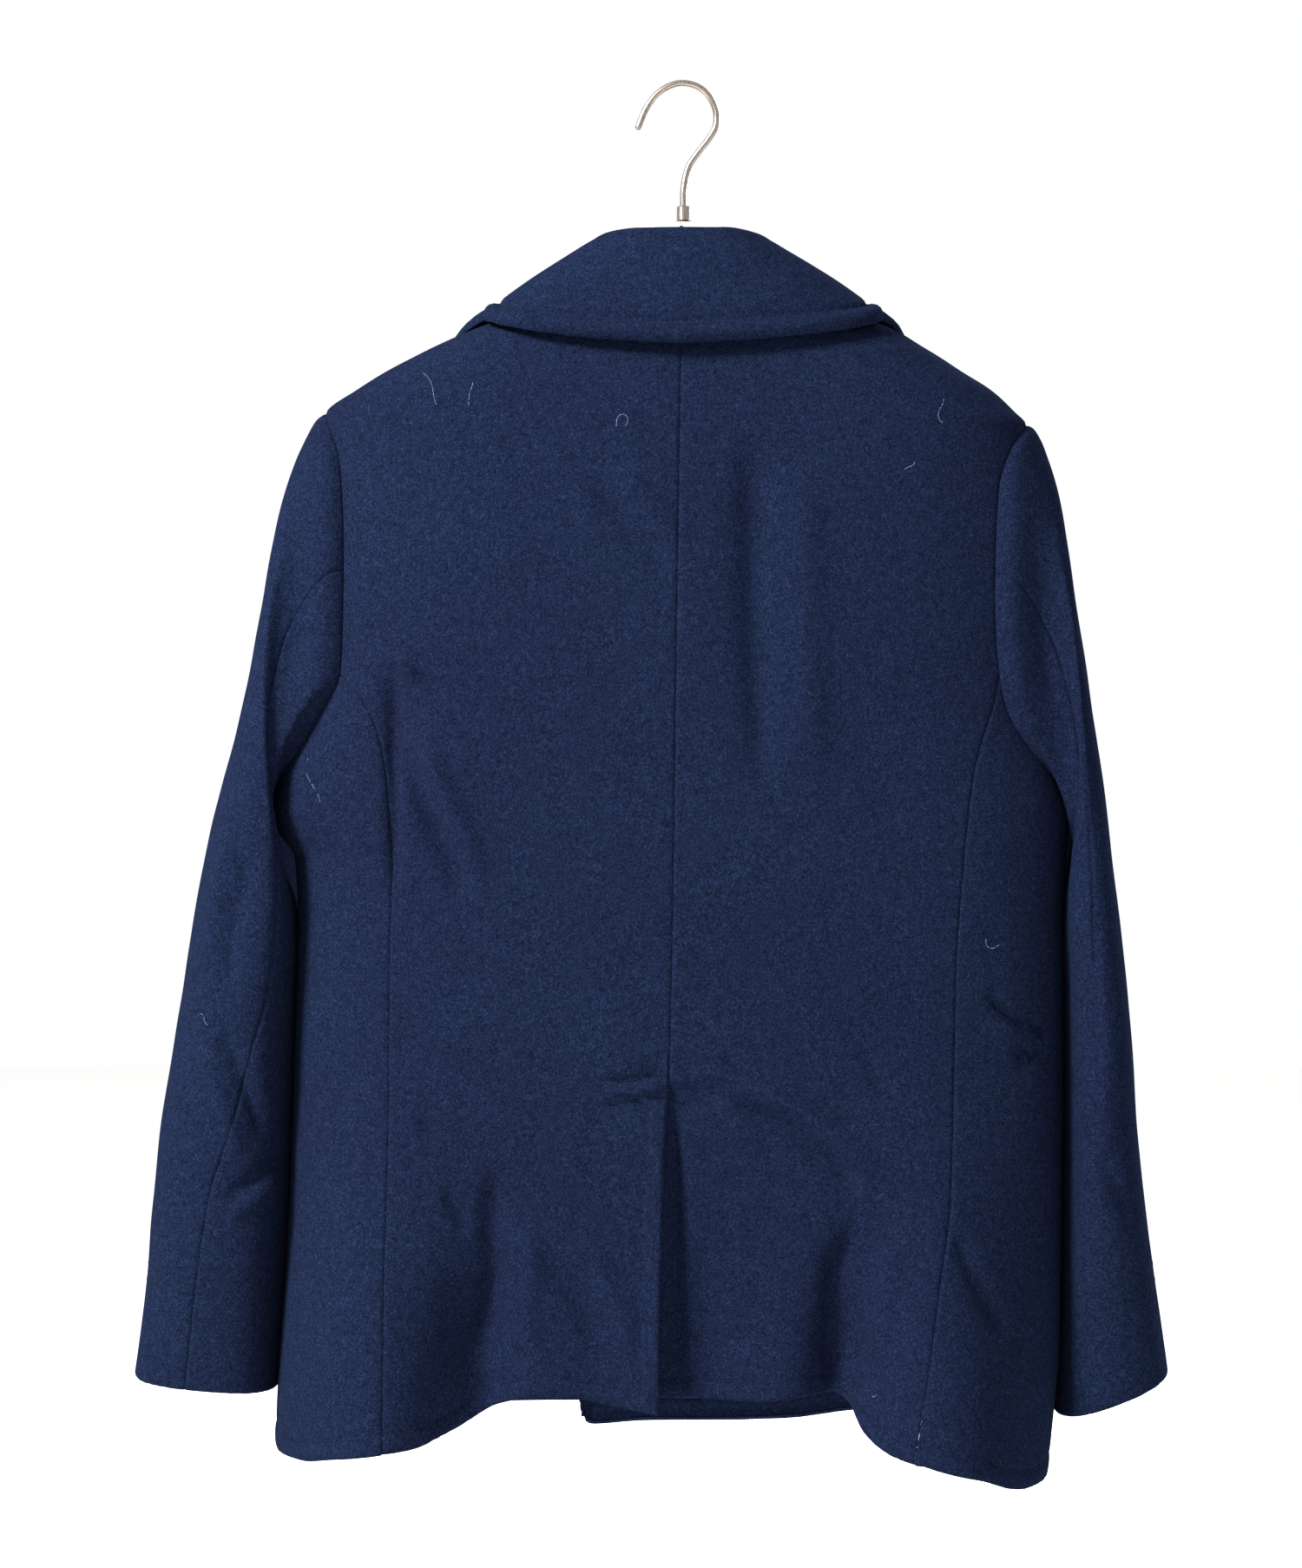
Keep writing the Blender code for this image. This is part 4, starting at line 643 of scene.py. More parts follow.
back_grids = {}
for side, word in ((LEFT, "left"), (RIGHT, "right")):
    rows = back_rows()
    columns = fine(BACK_COLUMNS, 7)
    u, v = columns / BACK_COLUMNS, rows / rows[-1]
    outer, drops, high = outer_line(side, rows)
    centre = centre_line(side, rows, drops, high)
    top = pair(centre[0, 0] * (1 - u), BACK_NECK_DROP + (NECK_DROP[side] - BACK_NECK_DROP) * smooth(u))
    turn = centre[-1, 0] + (outer[-1, 0] - centre[-1, 0]) * u
    drop = BACK_HEM_DROP[side](body_point(side, turn, HEM_SAMPLE_DROP)[..., 0])
    drop = drop + (centre[-1, 1] - drop[0]) * (1 - u) + (outer[-1, 1] - drop[-1]) * u
    domain = coons(top, pair(turn, drop), centre, outer, u, v)
    points = body_point(side, domain[..., 0], domain[..., 1])
    normals = body_normal(side, domain[..., 0], domain[..., 1])
    grids = [(points, normals)]
    vent_from = high + VENT_ROW
    centre_path = points[rows <= vent_from, 0]
    arm = (rows >= SHOULDER_STEPS) & (rows <= high)
    armhole_path, side_path = points[arm, -1], points[rows >= high, -1]
    seams = [centre_path, armhole_path, side_path, points[rows <= SHOULDER_STEPS, -1]]
    edges = [points[-1]]
    if side == LEFT:
        edges.append(points[rows >= vent_from, 0])
    else:
        lap_rows = centre[rows >= vent_from + 1]
        lap = np.linspace(0.0, 1.0, 16)
        lap_x = CENTRE_X(lap_rows[:, 1])[:, None] - VENT_UNDERLAP * (1.0 - lap)
        lap_drop = np.broadcast_to(lap_rows[:, 1][:, None], lap_x.shape)
        lap_turn = turn_at(side, lap_x, lap_drop)
        lap_turn[:, -1] = lap_rows[:, 0]
        grids.append((body_point(side, lap_turn, lap_drop), body_normal(side, lap_turn, lap_drop)))
        edges = [np.concatenate((grids[1][0][-1], points[-1])), grids[1][0][:, 0]]
    dressed = []
    for grid, grid_normals in grids:
        height = crease_height(grid, BACK_CREASES) * back_weight(grid_normals) + drape(grid, 3.0)
        dressed.append((dress(grid, grid_normals, seams, edges, height, calm=[armhole_path]), grid_normals))
    back_grids[side] = dressed[0][0]
    piece = cloth_piece("melton_back_" + word, dressed, CLOTH, melton)
    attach(piece, "root")
    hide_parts("back_" + word)

# ==== The two fronts ================================================================================
# Each is one piece of melton from the front edge, round the side, to the side-back seam. The left front
# laps over the right one. Their front edges are turned and stitched, and roll back into the lapels.
FRONT_EDGE = {LEFT: 0.078, RIGHT: -0.0685}
ROLL_BEND = 1.12
EVEN_SHARE, LOWER_FADE = 0.35, 4
SideHem = namedtuple("SideHem", "turn drop")
FRONT_HEM = {                 # the fronts' hem, by the turn in degrees
    LEFT: [SideHem(-50, 0.8890), SideHem(-38, 0.8942), SideHem(-26, 0.9000), SideHem(-12, 0.9005),
           SideHem(0, 0.8930), SideHem(14, 0.8890), SideHem(35, 0.8860), SideHem(60, 0.8825),
           SideHem(115, 0.8830)],
    RIGHT: [SideHem(-55, 0.8968), SideHem(-50, 0.9012), SideHem(-46, 0.9042), SideHem(-42, 0.9072),
            SideHem(-38, 0.9113), SideHem(-33, 0.9158), SideHem(-26, 0.9188), SideHem(-16, 0.9190),
            SideHem(-8, 0.9180), SideHem(0, 0.9130), SideHem(14, 0.9060), SideHem(35, 0.8960),
            SideHem(60, 0.8872), SideHem(66, 0.8890), SideHem(74, 0.8938), SideHem(85, 0.8955),
            SideHem(95, 0.8958), SideHem(102, 0.8982), SideHem(108, 0.8985)],
}
FRONT_CREASES = [             # soft drapes of the fronts, from the lapels' break and from the buttons
    Crease(-0.0029, 0.0105, ((-0.1500, 0.3900), (-0.1250, 0.4700), (-0.1150, 0.5600))),
    Crease(-0.0029, 0.0105, ((0.1450, 0.3900), (0.1250, 0.4600), (0.1180, 0.5400))),
    Crease(0.0032, 0.0150, ((-0.1750, 0.6500), (-0.1850, 0.7500), (-0.1900, 0.8600))),
    Crease(-0.0029, 0.0135, ((-0.1300, 0.6800), (-0.1350, 0.7700), (-0.1400, 0.8700))),
    Crease(0.0032, 0.0150, ((0.1650, 0.6600), (0.1700, 0.7500), (0.1750, 0.8700))),
    Crease(-0.0029, 0.0135, ((0.1150, 0.6900), (0.1200, 0.7800), (0.1220, 0.8700))),
    Crease(-0.0022, 0.0075, ((-0.0600, 0.4400), (-0.0100, 0.4550), (0.0400, 0.4420))),
    Crease(-0.0018, 0.0075, ((-0.0600, 0.5550), (-0.0100, 0.5650), (0.0400, 0.5560))),
]


FRONT_HEM_DROP = {side: track([(row.turn, row.drop) for row in FRONT_HEM[side]]) for side in (LEFT, RIGHT)}
FRONT_EDGE_TURN = 95.0        # where the hem meets the front edge, in degrees


def side_back_line(side, rows):
    drop = JOIN_DROP + (hem_drop_at_seam(side) - JOIN_DROP) * in_steps(LOW_ROWS, rows)
    return pair(turn_at(side, SIDE_BACK_X[side](drop), drop), drop)


def roll_line(side, share):
    """The line where the lapel turns back, from the neck point to the break."""
    drop = NECK_DROP[side] + (BREAK_DROP - NECK_DROP[side]) * share
    start_x = side * WIDTH[side](NECK_DROP[side])
    x = start_x + (FRONT_EDGE[side] - start_x) * share ** ROLL_BEND
    return pair(np.where(share <= 0.0, 0.0, turn_at(side, x, drop, front=True)), drop)


def chest_bottom(side, u):
    """The line across the chest from the armhole to the break."""
    start = float(armhole_turn(side, np.array(JOIN_DROP), front=True))
    end = float(turn_at(side, np.array(FRONT_EDGE[side]), np.array(BREAK_DROP), front=True))
    return pair(start + (end - start) * u, JOIN_DROP + (BREAK_DROP - JOIN_DROP) * smooth(u))


def lower_top(side, columns):
    """The top of the lower front: the underarm behind, the underarm in front, then the chest line."""
    under = len(UNDERARM_SHARES) - 1
    share = np.where(columns <= under, columns, np.clip(2 * under - columns, 0, under))
    drop = JOIN_DROP + (ARMPIT_DROP - JOIN_DROP) * in_steps(UNDERARM_SHARES, share)
    turn = np.where(columns <= under, armhole_turn(side, drop), armhole_turn(side, drop, front=True))
    chest = chest_bottom(side, np.clip((columns - 2 * under) / SHOULDER_STEPS, 0.0, 1.0))
    return np.where((columns <= 2 * under)[:, None], pair(turn, drop), chest)


CORNER_RADIUS = 0.010


def round_corner(grid, side):
    """Round the corner where the front edge meets the hem: a square corner drawn in to a quarter circle."""
    corner = grid[-1, -1].copy()
    from_edge = np.clip(1.0 - side * (corner[0] - grid[..., 0]) / -CORNER_RADIUS, 0.0, 1.0)
    from_hem = np.clip(1.0 - (grid[..., 2] - corner[2]) / CORNER_RADIUS, 0.0, 1.0)
    near_corner = (from_edge > 0.0) & (from_hem > 0.0) & (grid[..., 1] > 0.0)
    x_in = CORNER_RADIUS * from_edge * (1.0 - np.sqrt(1.0 - from_hem ** 2 / 2.0))
    z_in = CORNER_RADIUS * from_hem * (1.0 - np.sqrt(1.0 - from_edge ** 2 / 2.0))
    grid[..., 0] += np.where(near_corner, side * x_in, 0.0)
    grid[..., 2] += np.where(near_corner, z_in, 0.0)


front_grids = {}
for side, word in ((LEFT, "left"), (RIGHT, "right")):
    arm_steps, under = len(ARMHOLE_SHARES) - 1, len(UNDERARM_SHARES) - 1
    rows, columns = fine(arm_steps, 6, high=False), fine(SHOULDER_STEPS, 6)
    u, v = columns / SHOULDER_STEPS, rows / arm_steps
    arm_drop = TIP_DROP[side] + (JOIN_DROP - TIP_DROP[side]) * in_steps(ARMHOLE_SHARES, rows)
    shoulder = pair(0.0, TIP_DROP[side] + (NECK_DROP[side] - TIP_DROP[side]) * u)
    chest = coons(shoulder, chest_bottom(side, u),
                  pair(armhole_turn(side, arm_drop, front=True), arm_drop), roll_line(side, v), u, v)

    rows = fine(len(LOW_ROWS) - 1, 8)
    columns = fine(2 * under + SHOULDER_STEPS, 6, extra=2 * under + columns)
    u, v = columns / columns[-1], rows / rows[-1]
    low_top, seam = lower_top(side, columns), side_back_line(side, rows)
    last = float(FRONT_HEM_DROP[side](FRONT_EDGE_TURN))
    edge_drop = BREAK_DROP + (last - BREAK_DROP) * in_steps(LOW_ROWS, rows)
    edge = pair(turn_at(side, FRONT_EDGE[side], edge_drop, front=True), edge_drop)
    turned = (low_top[:, 0] - low_top[0, 0]) / (low_top[-1, 0] - low_top[0, 0])
    turn = seam[-1, 0] + (edge[-1, 0] - seam[-1, 0]) * (EVEN_SHARE * u + (1 - EVEN_SHARE) * turned)
    drop = FRONT_HEM_DROP[side](np.degrees(turn))
    drop[0], drop[-1] = seam[-1, 1], edge[-1, 1]
    lower = coons(low_top, pair(turn, drop), seam, edge, u, v, fade=LOWER_FADE)

    grids = [(body_point(side, part[..., 0], part[..., 1]), body_normal(side, part[..., 0], part[..., 1]))
             for part in (chest, lower)]
    round_corner(grids[1][0], side)
    upper_points, lower_points = grids[0][0], grids[1][0]
    armhole = [upper_points[:, 0], lower_points[0, columns <= 2 * under]]
    seams = armhole + [upper_points[0], lower_points[:, 0]]
    edges = [np.concatenate((upper_points[:, -1], lower_points[:, -1])), lower_points[-1]]
    dressed = []
    for grid, grid_normals in grids:
        behind = back_weight(grid_normals)
        height = crease_height(grid, BACK_CREASES) * behind + drape(grid, 3.0)
        ahead = smooth(grid_normals[..., 1] / TURN_FADE)
        height = height + crease_height(grid, FRONT_CREASES) * ahead
        dressed.append((dress(grid, grid_normals, seams, edges, height, calm=armhole), grid_normals))
    front_grids[side] = dressed
    piece = cloth_piece("melton_front_" + word, dressed, CLOTH, melton)
    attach(piece, "root")
    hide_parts("front_" + word)

# ==== The sleeves ===================================================================================
# Each is made of a top and an under half of lighter melton, set into the armhole with a little fullness
# at its head. The seams run down behind and in front, and the cuffs are turned and stitched twice.
SLEEVE_CLOTH = 0.0025
HAND_BACK, HAND_BACK_START = 0.001, 11
SLEEVE_SQUARE = 0.30
ARMHOLE_REACH, SPREAD_REACH = 6.0, 5.5
VALLEY_DEPTH, VALLEY_RING, VALLEY_RINGS = 0.0085, 3.4, 1.3
VALLEY_TURN, VALLEY_TURNS = 78.0, 42.0
SLEEVE_SEAM = 5
Ring = namedtuple("Ring", "x_out drop_out x_in drop_in y_mid half_depth seam_turn")
SLEEVE = {
    LEFT: [
        Ring(-0.2340, 0.2176, -0.2715, 0.4780, 0.000, 0.0460, 74),
        Ring(-0.2400, 0.2215, -0.2755, 0.4774, 0.000, 0.0505, 75),
        Ring(-0.2480, 0.2330, -0.2790, 0.4815, 0.001, 0.0530, 78),
        Ring(-0.2565, 0.2510, -0.2800, 0.4900, 0.003, 0.0540, 83),
        Ring(-0.2632, 0.2720, -0.2790, 0.5010, 0.005, 0.0550, 90),
        Ring(-0.2700, 0.3020, -0.2725, 0.5140, 0.007, 0.0570, 98),
        Ring(-0.2765, 0.3380, -0.2650, 0.5290, 0.009, 0.0600, 107),
        Ring(-0.2848, 0.3830, -0.2590, 0.5500, 0.011, 0.0630, 116),
        Ring(-0.2945, 0.4260, -0.2572, 0.5760, 0.012, 0.0650, 123),
        Ring(-0.3055, 0.4660, -0.2570, 0.6050, 0.013, 0.0660, 125),
        Ring(-0.3155, 0.5080, -0.2575, 0.6350, 0.014, 0.0665, 121),
        Ring(-0.3230, 0.5495, -0.2582, 0.6680, 0.014, 0.0660, 112),
        Ring(-0.3318, 0.6040, -0.2592, 0.7080, 0.014, 0.0640, 103),
        Ring(-0.3397, 0.6500, -0.2605, 0.7420, 0.013, 0.0615, 94),
        Ring(-0.3460, 0.6920, -0.2620, 0.7720, 0.012, 0.0585, 86),
        Ring(-0.3511, 0.7450, -0.2645, 0.8030, 0.011, 0.0550, 82),
        Ring(-0.3560, 0.7980, -0.2670, 0.8320, 0.010, 0.0500, 80),
        Ring(-0.3633, 0.8530, -0.2695, 0.8615, 0.009, 0.0445, 80),
    ],
    RIGHT: [
        Ring(0.2271, 0.2257, 0.2555, 0.4780, 0.000, 0.0480, 74),
        Ring(0.2313, 0.2272, 0.2590, 0.4774, 0.000, 0.0530, 75),
        Ring(0.2372, 0.2350, 0.2615, 0.4815, 0.001, 0.0555, 80),
        Ring(0.2432, 0.2480, 0.2630, 0.4890, 0.003, 0.0560, 87),
        Ring(0.2485, 0.2660, 0.2640, 0.4990, 0.006, 0.0570, 96),
        Ring(0.2535, 0.2940, 0.2630, 0.5110, 0.009, 0.0590, 107),
        Ring(0.2588, 0.3300, 0.2600, 0.5260, 0.012, 0.0620, 119),
        Ring(0.2668, 0.3800, 0.2570, 0.5480, 0.014, 0.0655, 131),
        Ring(0.2735, 0.4240, 0.2553, 0.5740, 0.016, 0.0685, 143),
        Ring(0.2800, 0.4660, 0.2548, 0.6030, 0.017, 0.0700, 153),
        Ring(0.2850, 0.5080, 0.2544, 0.6340, 0.018, 0.0705, 160),
        Ring(0.2907, 0.5495, 0.2542, 0.6670, 0.018, 0.0700, 164),
        Ring(0.2965, 0.6040, 0.2540, 0.7070, 0.018, 0.0690, 166),
        Ring(0.2996, 0.6500, 0.2535, 0.7420, 0.018, 0.0670, 166),
        Ring(0.3022, 0.6920, 0.2530, 0.7730, 0.017, 0.0645, 163),
        Ring(0.3082, 0.7450, 0.2525, 0.8080, 0.016, 0.0615, 156),
        Ring(0.3158, 0.7980, 0.2515, 0.8420, 0.015, 0.0570, 142),
        Ring(0.3237, 0.8515, 0.2495, 0.8790, 0.014, 0.0520, 124),
    ],
}
# The sleeve hangs fuller on its inner side just under the arm, where it leans on the body.
SLEEVE_FILL, SLEEVE_FILL_DROP, SLEEVE_FILL_WIDTH = 0.0032, 0.530, 0.060
SLEEVE_CREASES = [            # on the back of both sleeves
    Crease(-0.0054, 0.0056, ((-0.3000, 0.6150), (-0.2820, 0.6600), (-0.2700, 0.6950))),
    Crease(0.0036, 0.0056, ((-0.3150, 0.6250), (-0.2980, 0.6700), (-0.2860, 0.7050))),
    Crease(-0.0036, 0.0060, ((-0.2780, 0.5000), (-0.2900, 0.5500), (-0.2960, 0.6050))),
    Crease(0.0029, 0.0060, ((-0.2930, 0.4850), (-0.3040, 0.5400), (-0.3100, 0.5900))),
    Crease(-0.0036, 0.0045, ((-0.2620, 0.7000), (-0.2780, 0.7200), (-0.2980, 0.7300))),
    Crease(0.0025, 0.0045, ((-0.2620, 0.7150), (-0.2780, 0.7340), (-0.2980, 0.7430))),
    Crease(-0.0047, 0.0067, ((0.2580, 0.4700), (0.2640, 0.5600), (0.2690, 0.6600))),
    Crease(-0.0029, 0.0060, ((0.2700, 0.7000), (0.2850, 0.7300), (0.2980, 0.7450))),
]


def armhole_loop(side, places):
    """The armhole at places round the sleeve: down the back to the armpit, then up the front."""
    tip, pit = TIP_DROP[side], ARMPIT_DROP
    down = [tip + (JOIN_DROP - tip) * share for share in ARMHOLE_SHARES]
    down += [JOIN_DROP + (pit - JOIN_DROP) * share for share in UNDERARM_SHARES[1:]]
    drops = np.array(down + down[-2::-1])
    places = np.mod(places, len(drops) - 1)
    drop = in_steps(drops, places)
    front = places > len(down) - 1
    turn = np.where(front, armhole_turn(side, drop, front=True), armhole_turn(side, drop))
    return body_point(side, turn, drop)


def loop_angles(side, count, armpit):
    """The angle of each armhole point round the sleeve, by its share of the seam's length."""
    points = armhole_loop(side, np.arange(count + 1))
    run = run_of(points)
    back = np.pi * run / run[armpit]
    front = np.pi + np.pi * (run - run[armpit]) / (run[-1] - run[armpit])
    return np.where(np.arange(count + 1) <= armpit, back, front)


def sleeve_grid(side, rings, places):
    """Points of the sleeve at fractional rings, and at fractional places round it."""
    arm_steps, under = len(ARMHOLE_SHARES) - 1, len(UNDERARM_SHARES) - 1
    armpit, front_seam, count = arm_steps + under, arm_steps + 2 * under, 2 * (arm_steps + under)
    angles = loop_angles(side, count, armpit)
    table = SLEEVE[side]
    column = [track(list(enumerate(values)))(rings)[:, None] for values in zip(*table)]
    wrapped = np.mod(places, count)[None]
    over = (wrapped <= SLEEVE_SEAM) | (wrapped >= front_seam)
    front_angle = angles[front_seam] - 2.0 * np.pi
    seam = np.radians(column[6])
    passed = wrapped - front_seam + np.where(wrapped <= SLEEVE_SEAM, count, 0)
    along_over = passed / (count - front_seam + SLEEVE_SEAM)
    along_under = (wrapped - SLEEVE_SEAM) / (front_seam - SLEEVE_SEAM)
    target = np.where(over, front_angle + (seam - front_angle) * along_over,
                      seam + (front_angle + 2.0 * np.pi - seam) * along_under)
    base = np.interp(wrapped, np.arange(count + 1), angles)
    base = base - np.where(wrapped >= front_seam, 2 * np.pi, 0)
    ring = rings[:, None]

    def place(ring, target, values):
        x_out, drop_out, x_in, drop_in, y_mid, half_depth = values
        angle = base + (target - base) * smooth(ring / SPREAD_REACH)
        c, d = np.cos(angle), np.sin(angle)
        swell = 1.0 + SLEEVE_SQUARE * c * c
        hang = HAND_BACK * smooth((ring - HAND_BACK_START) / (len(table) - 1 - HAND_BACK_START))
        beside = bump(np.degrees(angle) - VALLEY_TURN, VALLEY_TURNS)
        valley = VALLEY_DEPTH * bump(ring - VALLEY_RING, VALLEY_RINGS) * beside
        x = (x_out + x_in) / 2 + (x_out - x_in) / 2 * c
        y = y_mid - half_depth * d * swell + valley
        z = -(drop_out + drop_in) / 2 - (drop_out - drop_in) / 2 * c - hang * d * swell
        return np.stack((x, y, z), axis=-1)

    points = place(ring, target, column[:6])
    start = place(np.zeros((1, 1)), base, [np.array([[value]]) for value in table[0][:6]])
    first = armhole_loop(side, places)[None] - start
    return points + first * (1.0 - smooth(ring / ARMHOLE_REACH))[..., None]


def normals_of(points, wrap=False):
    """Normals of a grid of points, turned away from the middle of each row when it wraps round."""
    if wrap:
        across = np.roll(points, -1, axis=1) - np.roll(points, 1, axis=1)
    else:
        across = np.gradient(points, axis=1)
    down = np.gradient(points, axis=0)
    normals = unit(np.cross(down, across))
    if wrap:
        outward = points - points.mean(axis=1, keepdims=True)
        if np.sum(outward * normals) < 0.0:
            normals = -normals
    return normals


sleeve_grids = {}
for side, word in ((LEFT, "left"), (RIGHT, "right")):
    under_steps = 2 * (len(UNDERARM_SHARES) - 1)
    arm_steps = len(ARMHOLE_SHARES) - 1
    front_seam, count = arm_steps + under_steps, 2 * arm_steps + under_steps
    rings = fine(len(SLEEVE[side]) - 1, 9)
    near = np.array(NEAR_EDGE[:6])
    round_it = np.concatenate((np.linspace(0, count, count * 5 + 1), SLEEVE_SEAM + near, SLEEVE_SEAM - near,
                               front_seam + near, front_seam - near))
    round_it = np.unique(np.round(round_it, 5))[:-1]
    whole = sleeve_grid(side, rings, round_it)
    normals = normals_of(whole, wrap=True)
    at = {place: int(np.argmin(np.abs(round_it - place))) for place in (SLEEVE_SEAM, front_seam)}
    back_seam_path, front_seam_path = whole[:, at[SLEEVE_SEAM]], whole[:, at[front_seam]]
    armhole_path, cuff_path = np.concatenate((whole[0], whole[0, :1])), whole[-1]
    cuff_path = np.concatenate((cuff_path, cuff_path[:1]))
    height = crease_height(whole, SLEEVE_CREASES) * back_weight(normals) + drape(whole, 9.0, 0.0009)
    inward = smooth(-side * normals[..., 0] / TURN_FADE)
    height = height + SLEEVE_FILL * inward * bump(whole[..., 2] + SLEEVE_FILL_DROP, SLEEVE_FILL_WIDTH)
    dressed = dress(whole, normals, [back_seam_path, front_seam_path, armhole_path], [cuff_path], height,
                    calm=[armhole_path], stitched=False,
                    settled=smooth(side * normals[..., 0] / TURN_FADE))
    sleeve_grids[side] = dressed
    over = list(range(at[front_seam], len(round_it))) + list(range(at[SLEEVE_SEAM] + 1))
    under = list(range(at[SLEEVE_SEAM], at[front_seam] + 1))
    for half, picked in (("top", over), ("under", under)):
        piece = cloth_piece("melton_%s_sleeve_%s" % (half, word), [(dressed[:, picked], normals[:, picked])],
                            SLEEVE_CLOTH, melton)
        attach(piece, "root")
        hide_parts("%s_sleeve_%s" % (half, word))

# ==== The collar ====================================================================================
# One wide collar of two layers of melton over a stiff interlining. It stands up from the neck seam,
# rolls over and falls to the shoulders. Its edge is a fat rolled rim, stitched through 15 mm in.
COLLAR_CLOTH = 0.0045
ROLL_RADIUS, FALL_SWELL = 0.0072, 0.04
COLLAR_INSET, COLLAR_ROUND, COLLAR_PUFF, COLLAR_DIP = 0.0140, 0.0046, 0.0026, 0.0016
COLLAR_NEAR = 0.16                          # one section step near the collar's ends, as a share of half
STAND_SHARES, ROLL_STEPS = (0.0, 0.25, 0.5, 0.75), 12
FALL_START, FALL_STEPS, FALL_NEAR = 0.06, 17, 0.42
SWELL_SHAPE = 0.8                           # below 1, the fall is fullest above its middle
MIN_REACH = 1.02                            # keeps a point just outside the roll's circle
Station = namedtuple("Station", "neck_x neck_y neck_drop roll_x roll_y roll_drop edge_turn"
                     " edge_drop lift lean")
COLLAR = [                    # half of it, from the centre back to its front end
    Station(0.0000, -0.0440, 0.1485, 0.0000, -0.0450, 0.1000, -90, 0.1805, 0.0150, 0),
    Station(0.0300, -0.0415, 0.1475, 0.0260, -0.0435, 0.1000, -79, 0.1785, 0.0140, 0),
    Station(0.0550, -0.0330, 0.1445, 0.0460, -0.0340, 0.1018, -57, 0.1726, 0.0125, 0),
    Station(0.0710, -0.0150, 0.1405, 0.0580, -0.0160, 0.1068, -35, 0.1668, 0.0100, 0),
    Station(0.0745, 0.0030, 0.1400, 0.0630, 0.0040, 0.1147, -6, 0.1608, 0.0085, 0),
    Station(0.0670, 0.0240, 0.1530, 0.0600, 0.0325, 0.1335, 32, 0.1820, 0.0105, 30),
    Station(0.0470, 0.0500, 0.1960, 0.0460, 0.0670, 0.1890, 45, 0.2200, 0.0112, 72),
]
COLLAR_CREASES = [            # the faint dents of a collar that has hung for a while
    Crease(-0.0005, 0.0035, ((0.0073, 0.1180), (0.0070, 0.1400), (0.0073, 0.1650))),
    Crease(-0.0011, 0.0099, ((-0.0850, 0.1200), (-0.0650, 0.1350), (-0.0300, 0.1450))),
    Crease(0.0011, 0.0108, ((0.0900, 0.1250), (0.0700, 0.1400), (0.0350, 0.1500))),
]


def collar_section(row, side, arc_steps, shares):
    """Points from the neck seam up the stand, over the roll and down the fall to its edge."""
    neck = Vector((side * row.neck_x, row.neck_y, -row.neck_drop))
    roll = Vector((side * row.roll_x, row.roll_y, -row.roll_drop))
    turn = math.radians(row.edge_turn)
    edge = Vector(body_point(side, turn, row.edge_drop))
    edge = edge + Vector(body_normal(side, turn, row.edge_drop)) * row.lift
    lean = math.radians(row.lean)
    up = Vector((0.0, math.sin(lean), math.cos(lean)))
    level = edge - neck
    level = (level - up * level.dot(up)).normalized()
    aside = level.cross(up)
    centre = roll - up * ROLL_RADIUS
    ends = []
    for point, sign in ((neck, -1), (edge, 1)):
        gap = point - centre
        reach = max(ROLL_RADIUS * MIN_REACH, math.hypot(gap.dot(level), gap.dot(up)))
        angle = math.atan2(gap.dot(up), gap.dot(level)) % (2.0 * math.pi)
        if sign > 0 and angle > math.pi:
            angle -= 2.0 * math.pi
        ends.append(angle + sign * math.acos(ROLL_RADIUS / reach))
    arc = []
    for i in range(arc_steps + 1):
        angle = ends[0] + (ends[1] - ends[0]) * i / arc_steps
        arc.append(centre + (level * math.cos(angle) + up * math.sin(angle)) * ROLL_RADIUS)
    points = [neck.lerp(arc[0], share) for share in STAND_SHARES] + arc
    run = edge - arc[-1]
    out = run.cross(aside).normalized()
    if out.dot(level + up) < 0.0:
        out = -out
    for share in shares:
        swell = out * run.length * FALL_SWELL * math.sin(math.pi * share ** SWELL_SHAPE)
        points.append(arc[-1] + run * share + swell)
    return points


near = np.array(NEAR_EDGE)
even_fall = np.linspace(FALL_START, 1.0, FALL_STEPS)
fall_shares = np.unique(np.concatenate((even_fall, 1.0 - near * FALL_NEAR)))
half = np.unique(np.concatenate((np.linspace(0.0, 1.0, 61), 1.0 - near * COLLAR_NEAR)))
keys = np.linspace(0.0, 1.0, len(COLLAR))
tracks = [track(list(zip(keys, values))) for values in zip(*COLLAR)]
stations = [Station(*[float(at(place)) for at in tracks]) for place in half]
sections = [collar_section(row, LEFT, ROLL_STEPS, fall_shares) for row in reversed(stations)]
sections += [collar_section(row, RIGHT, ROLL_STEPS, fall_shares) for row in stations[1:]]
collar_points = np.array([[tuple(point) for point in section] for section in sections])
collar_normals = normals_of(collar_points)
if collar_normals[len(sections) // 2, 10, 2] < 0.0:
    collar_normals = -collar_normals
edges = [collar_points[:, -1], collar_points[0], collar_points[-1]]
height = crease_height(collar_points, COLLAR_CREASES) * back_weight(collar_normals)
height = height + drape(collar_points, 5.0, 0.0006)
collar_grid = dress(collar_points, collar_normals, [collar_points[:, 0]], edges, height,
                    inset=COLLAR_INSET, radius=COLLAR_ROUND, puff=COLLAR_PUFF, dip=COLLAR_DIP,
                    settled=1.0)
piece = cloth_piece("melton_collar", [(collar_grid, collar_normals)], COLLAR_CLOTH, melton)
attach(piece, "root")
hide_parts("collar")

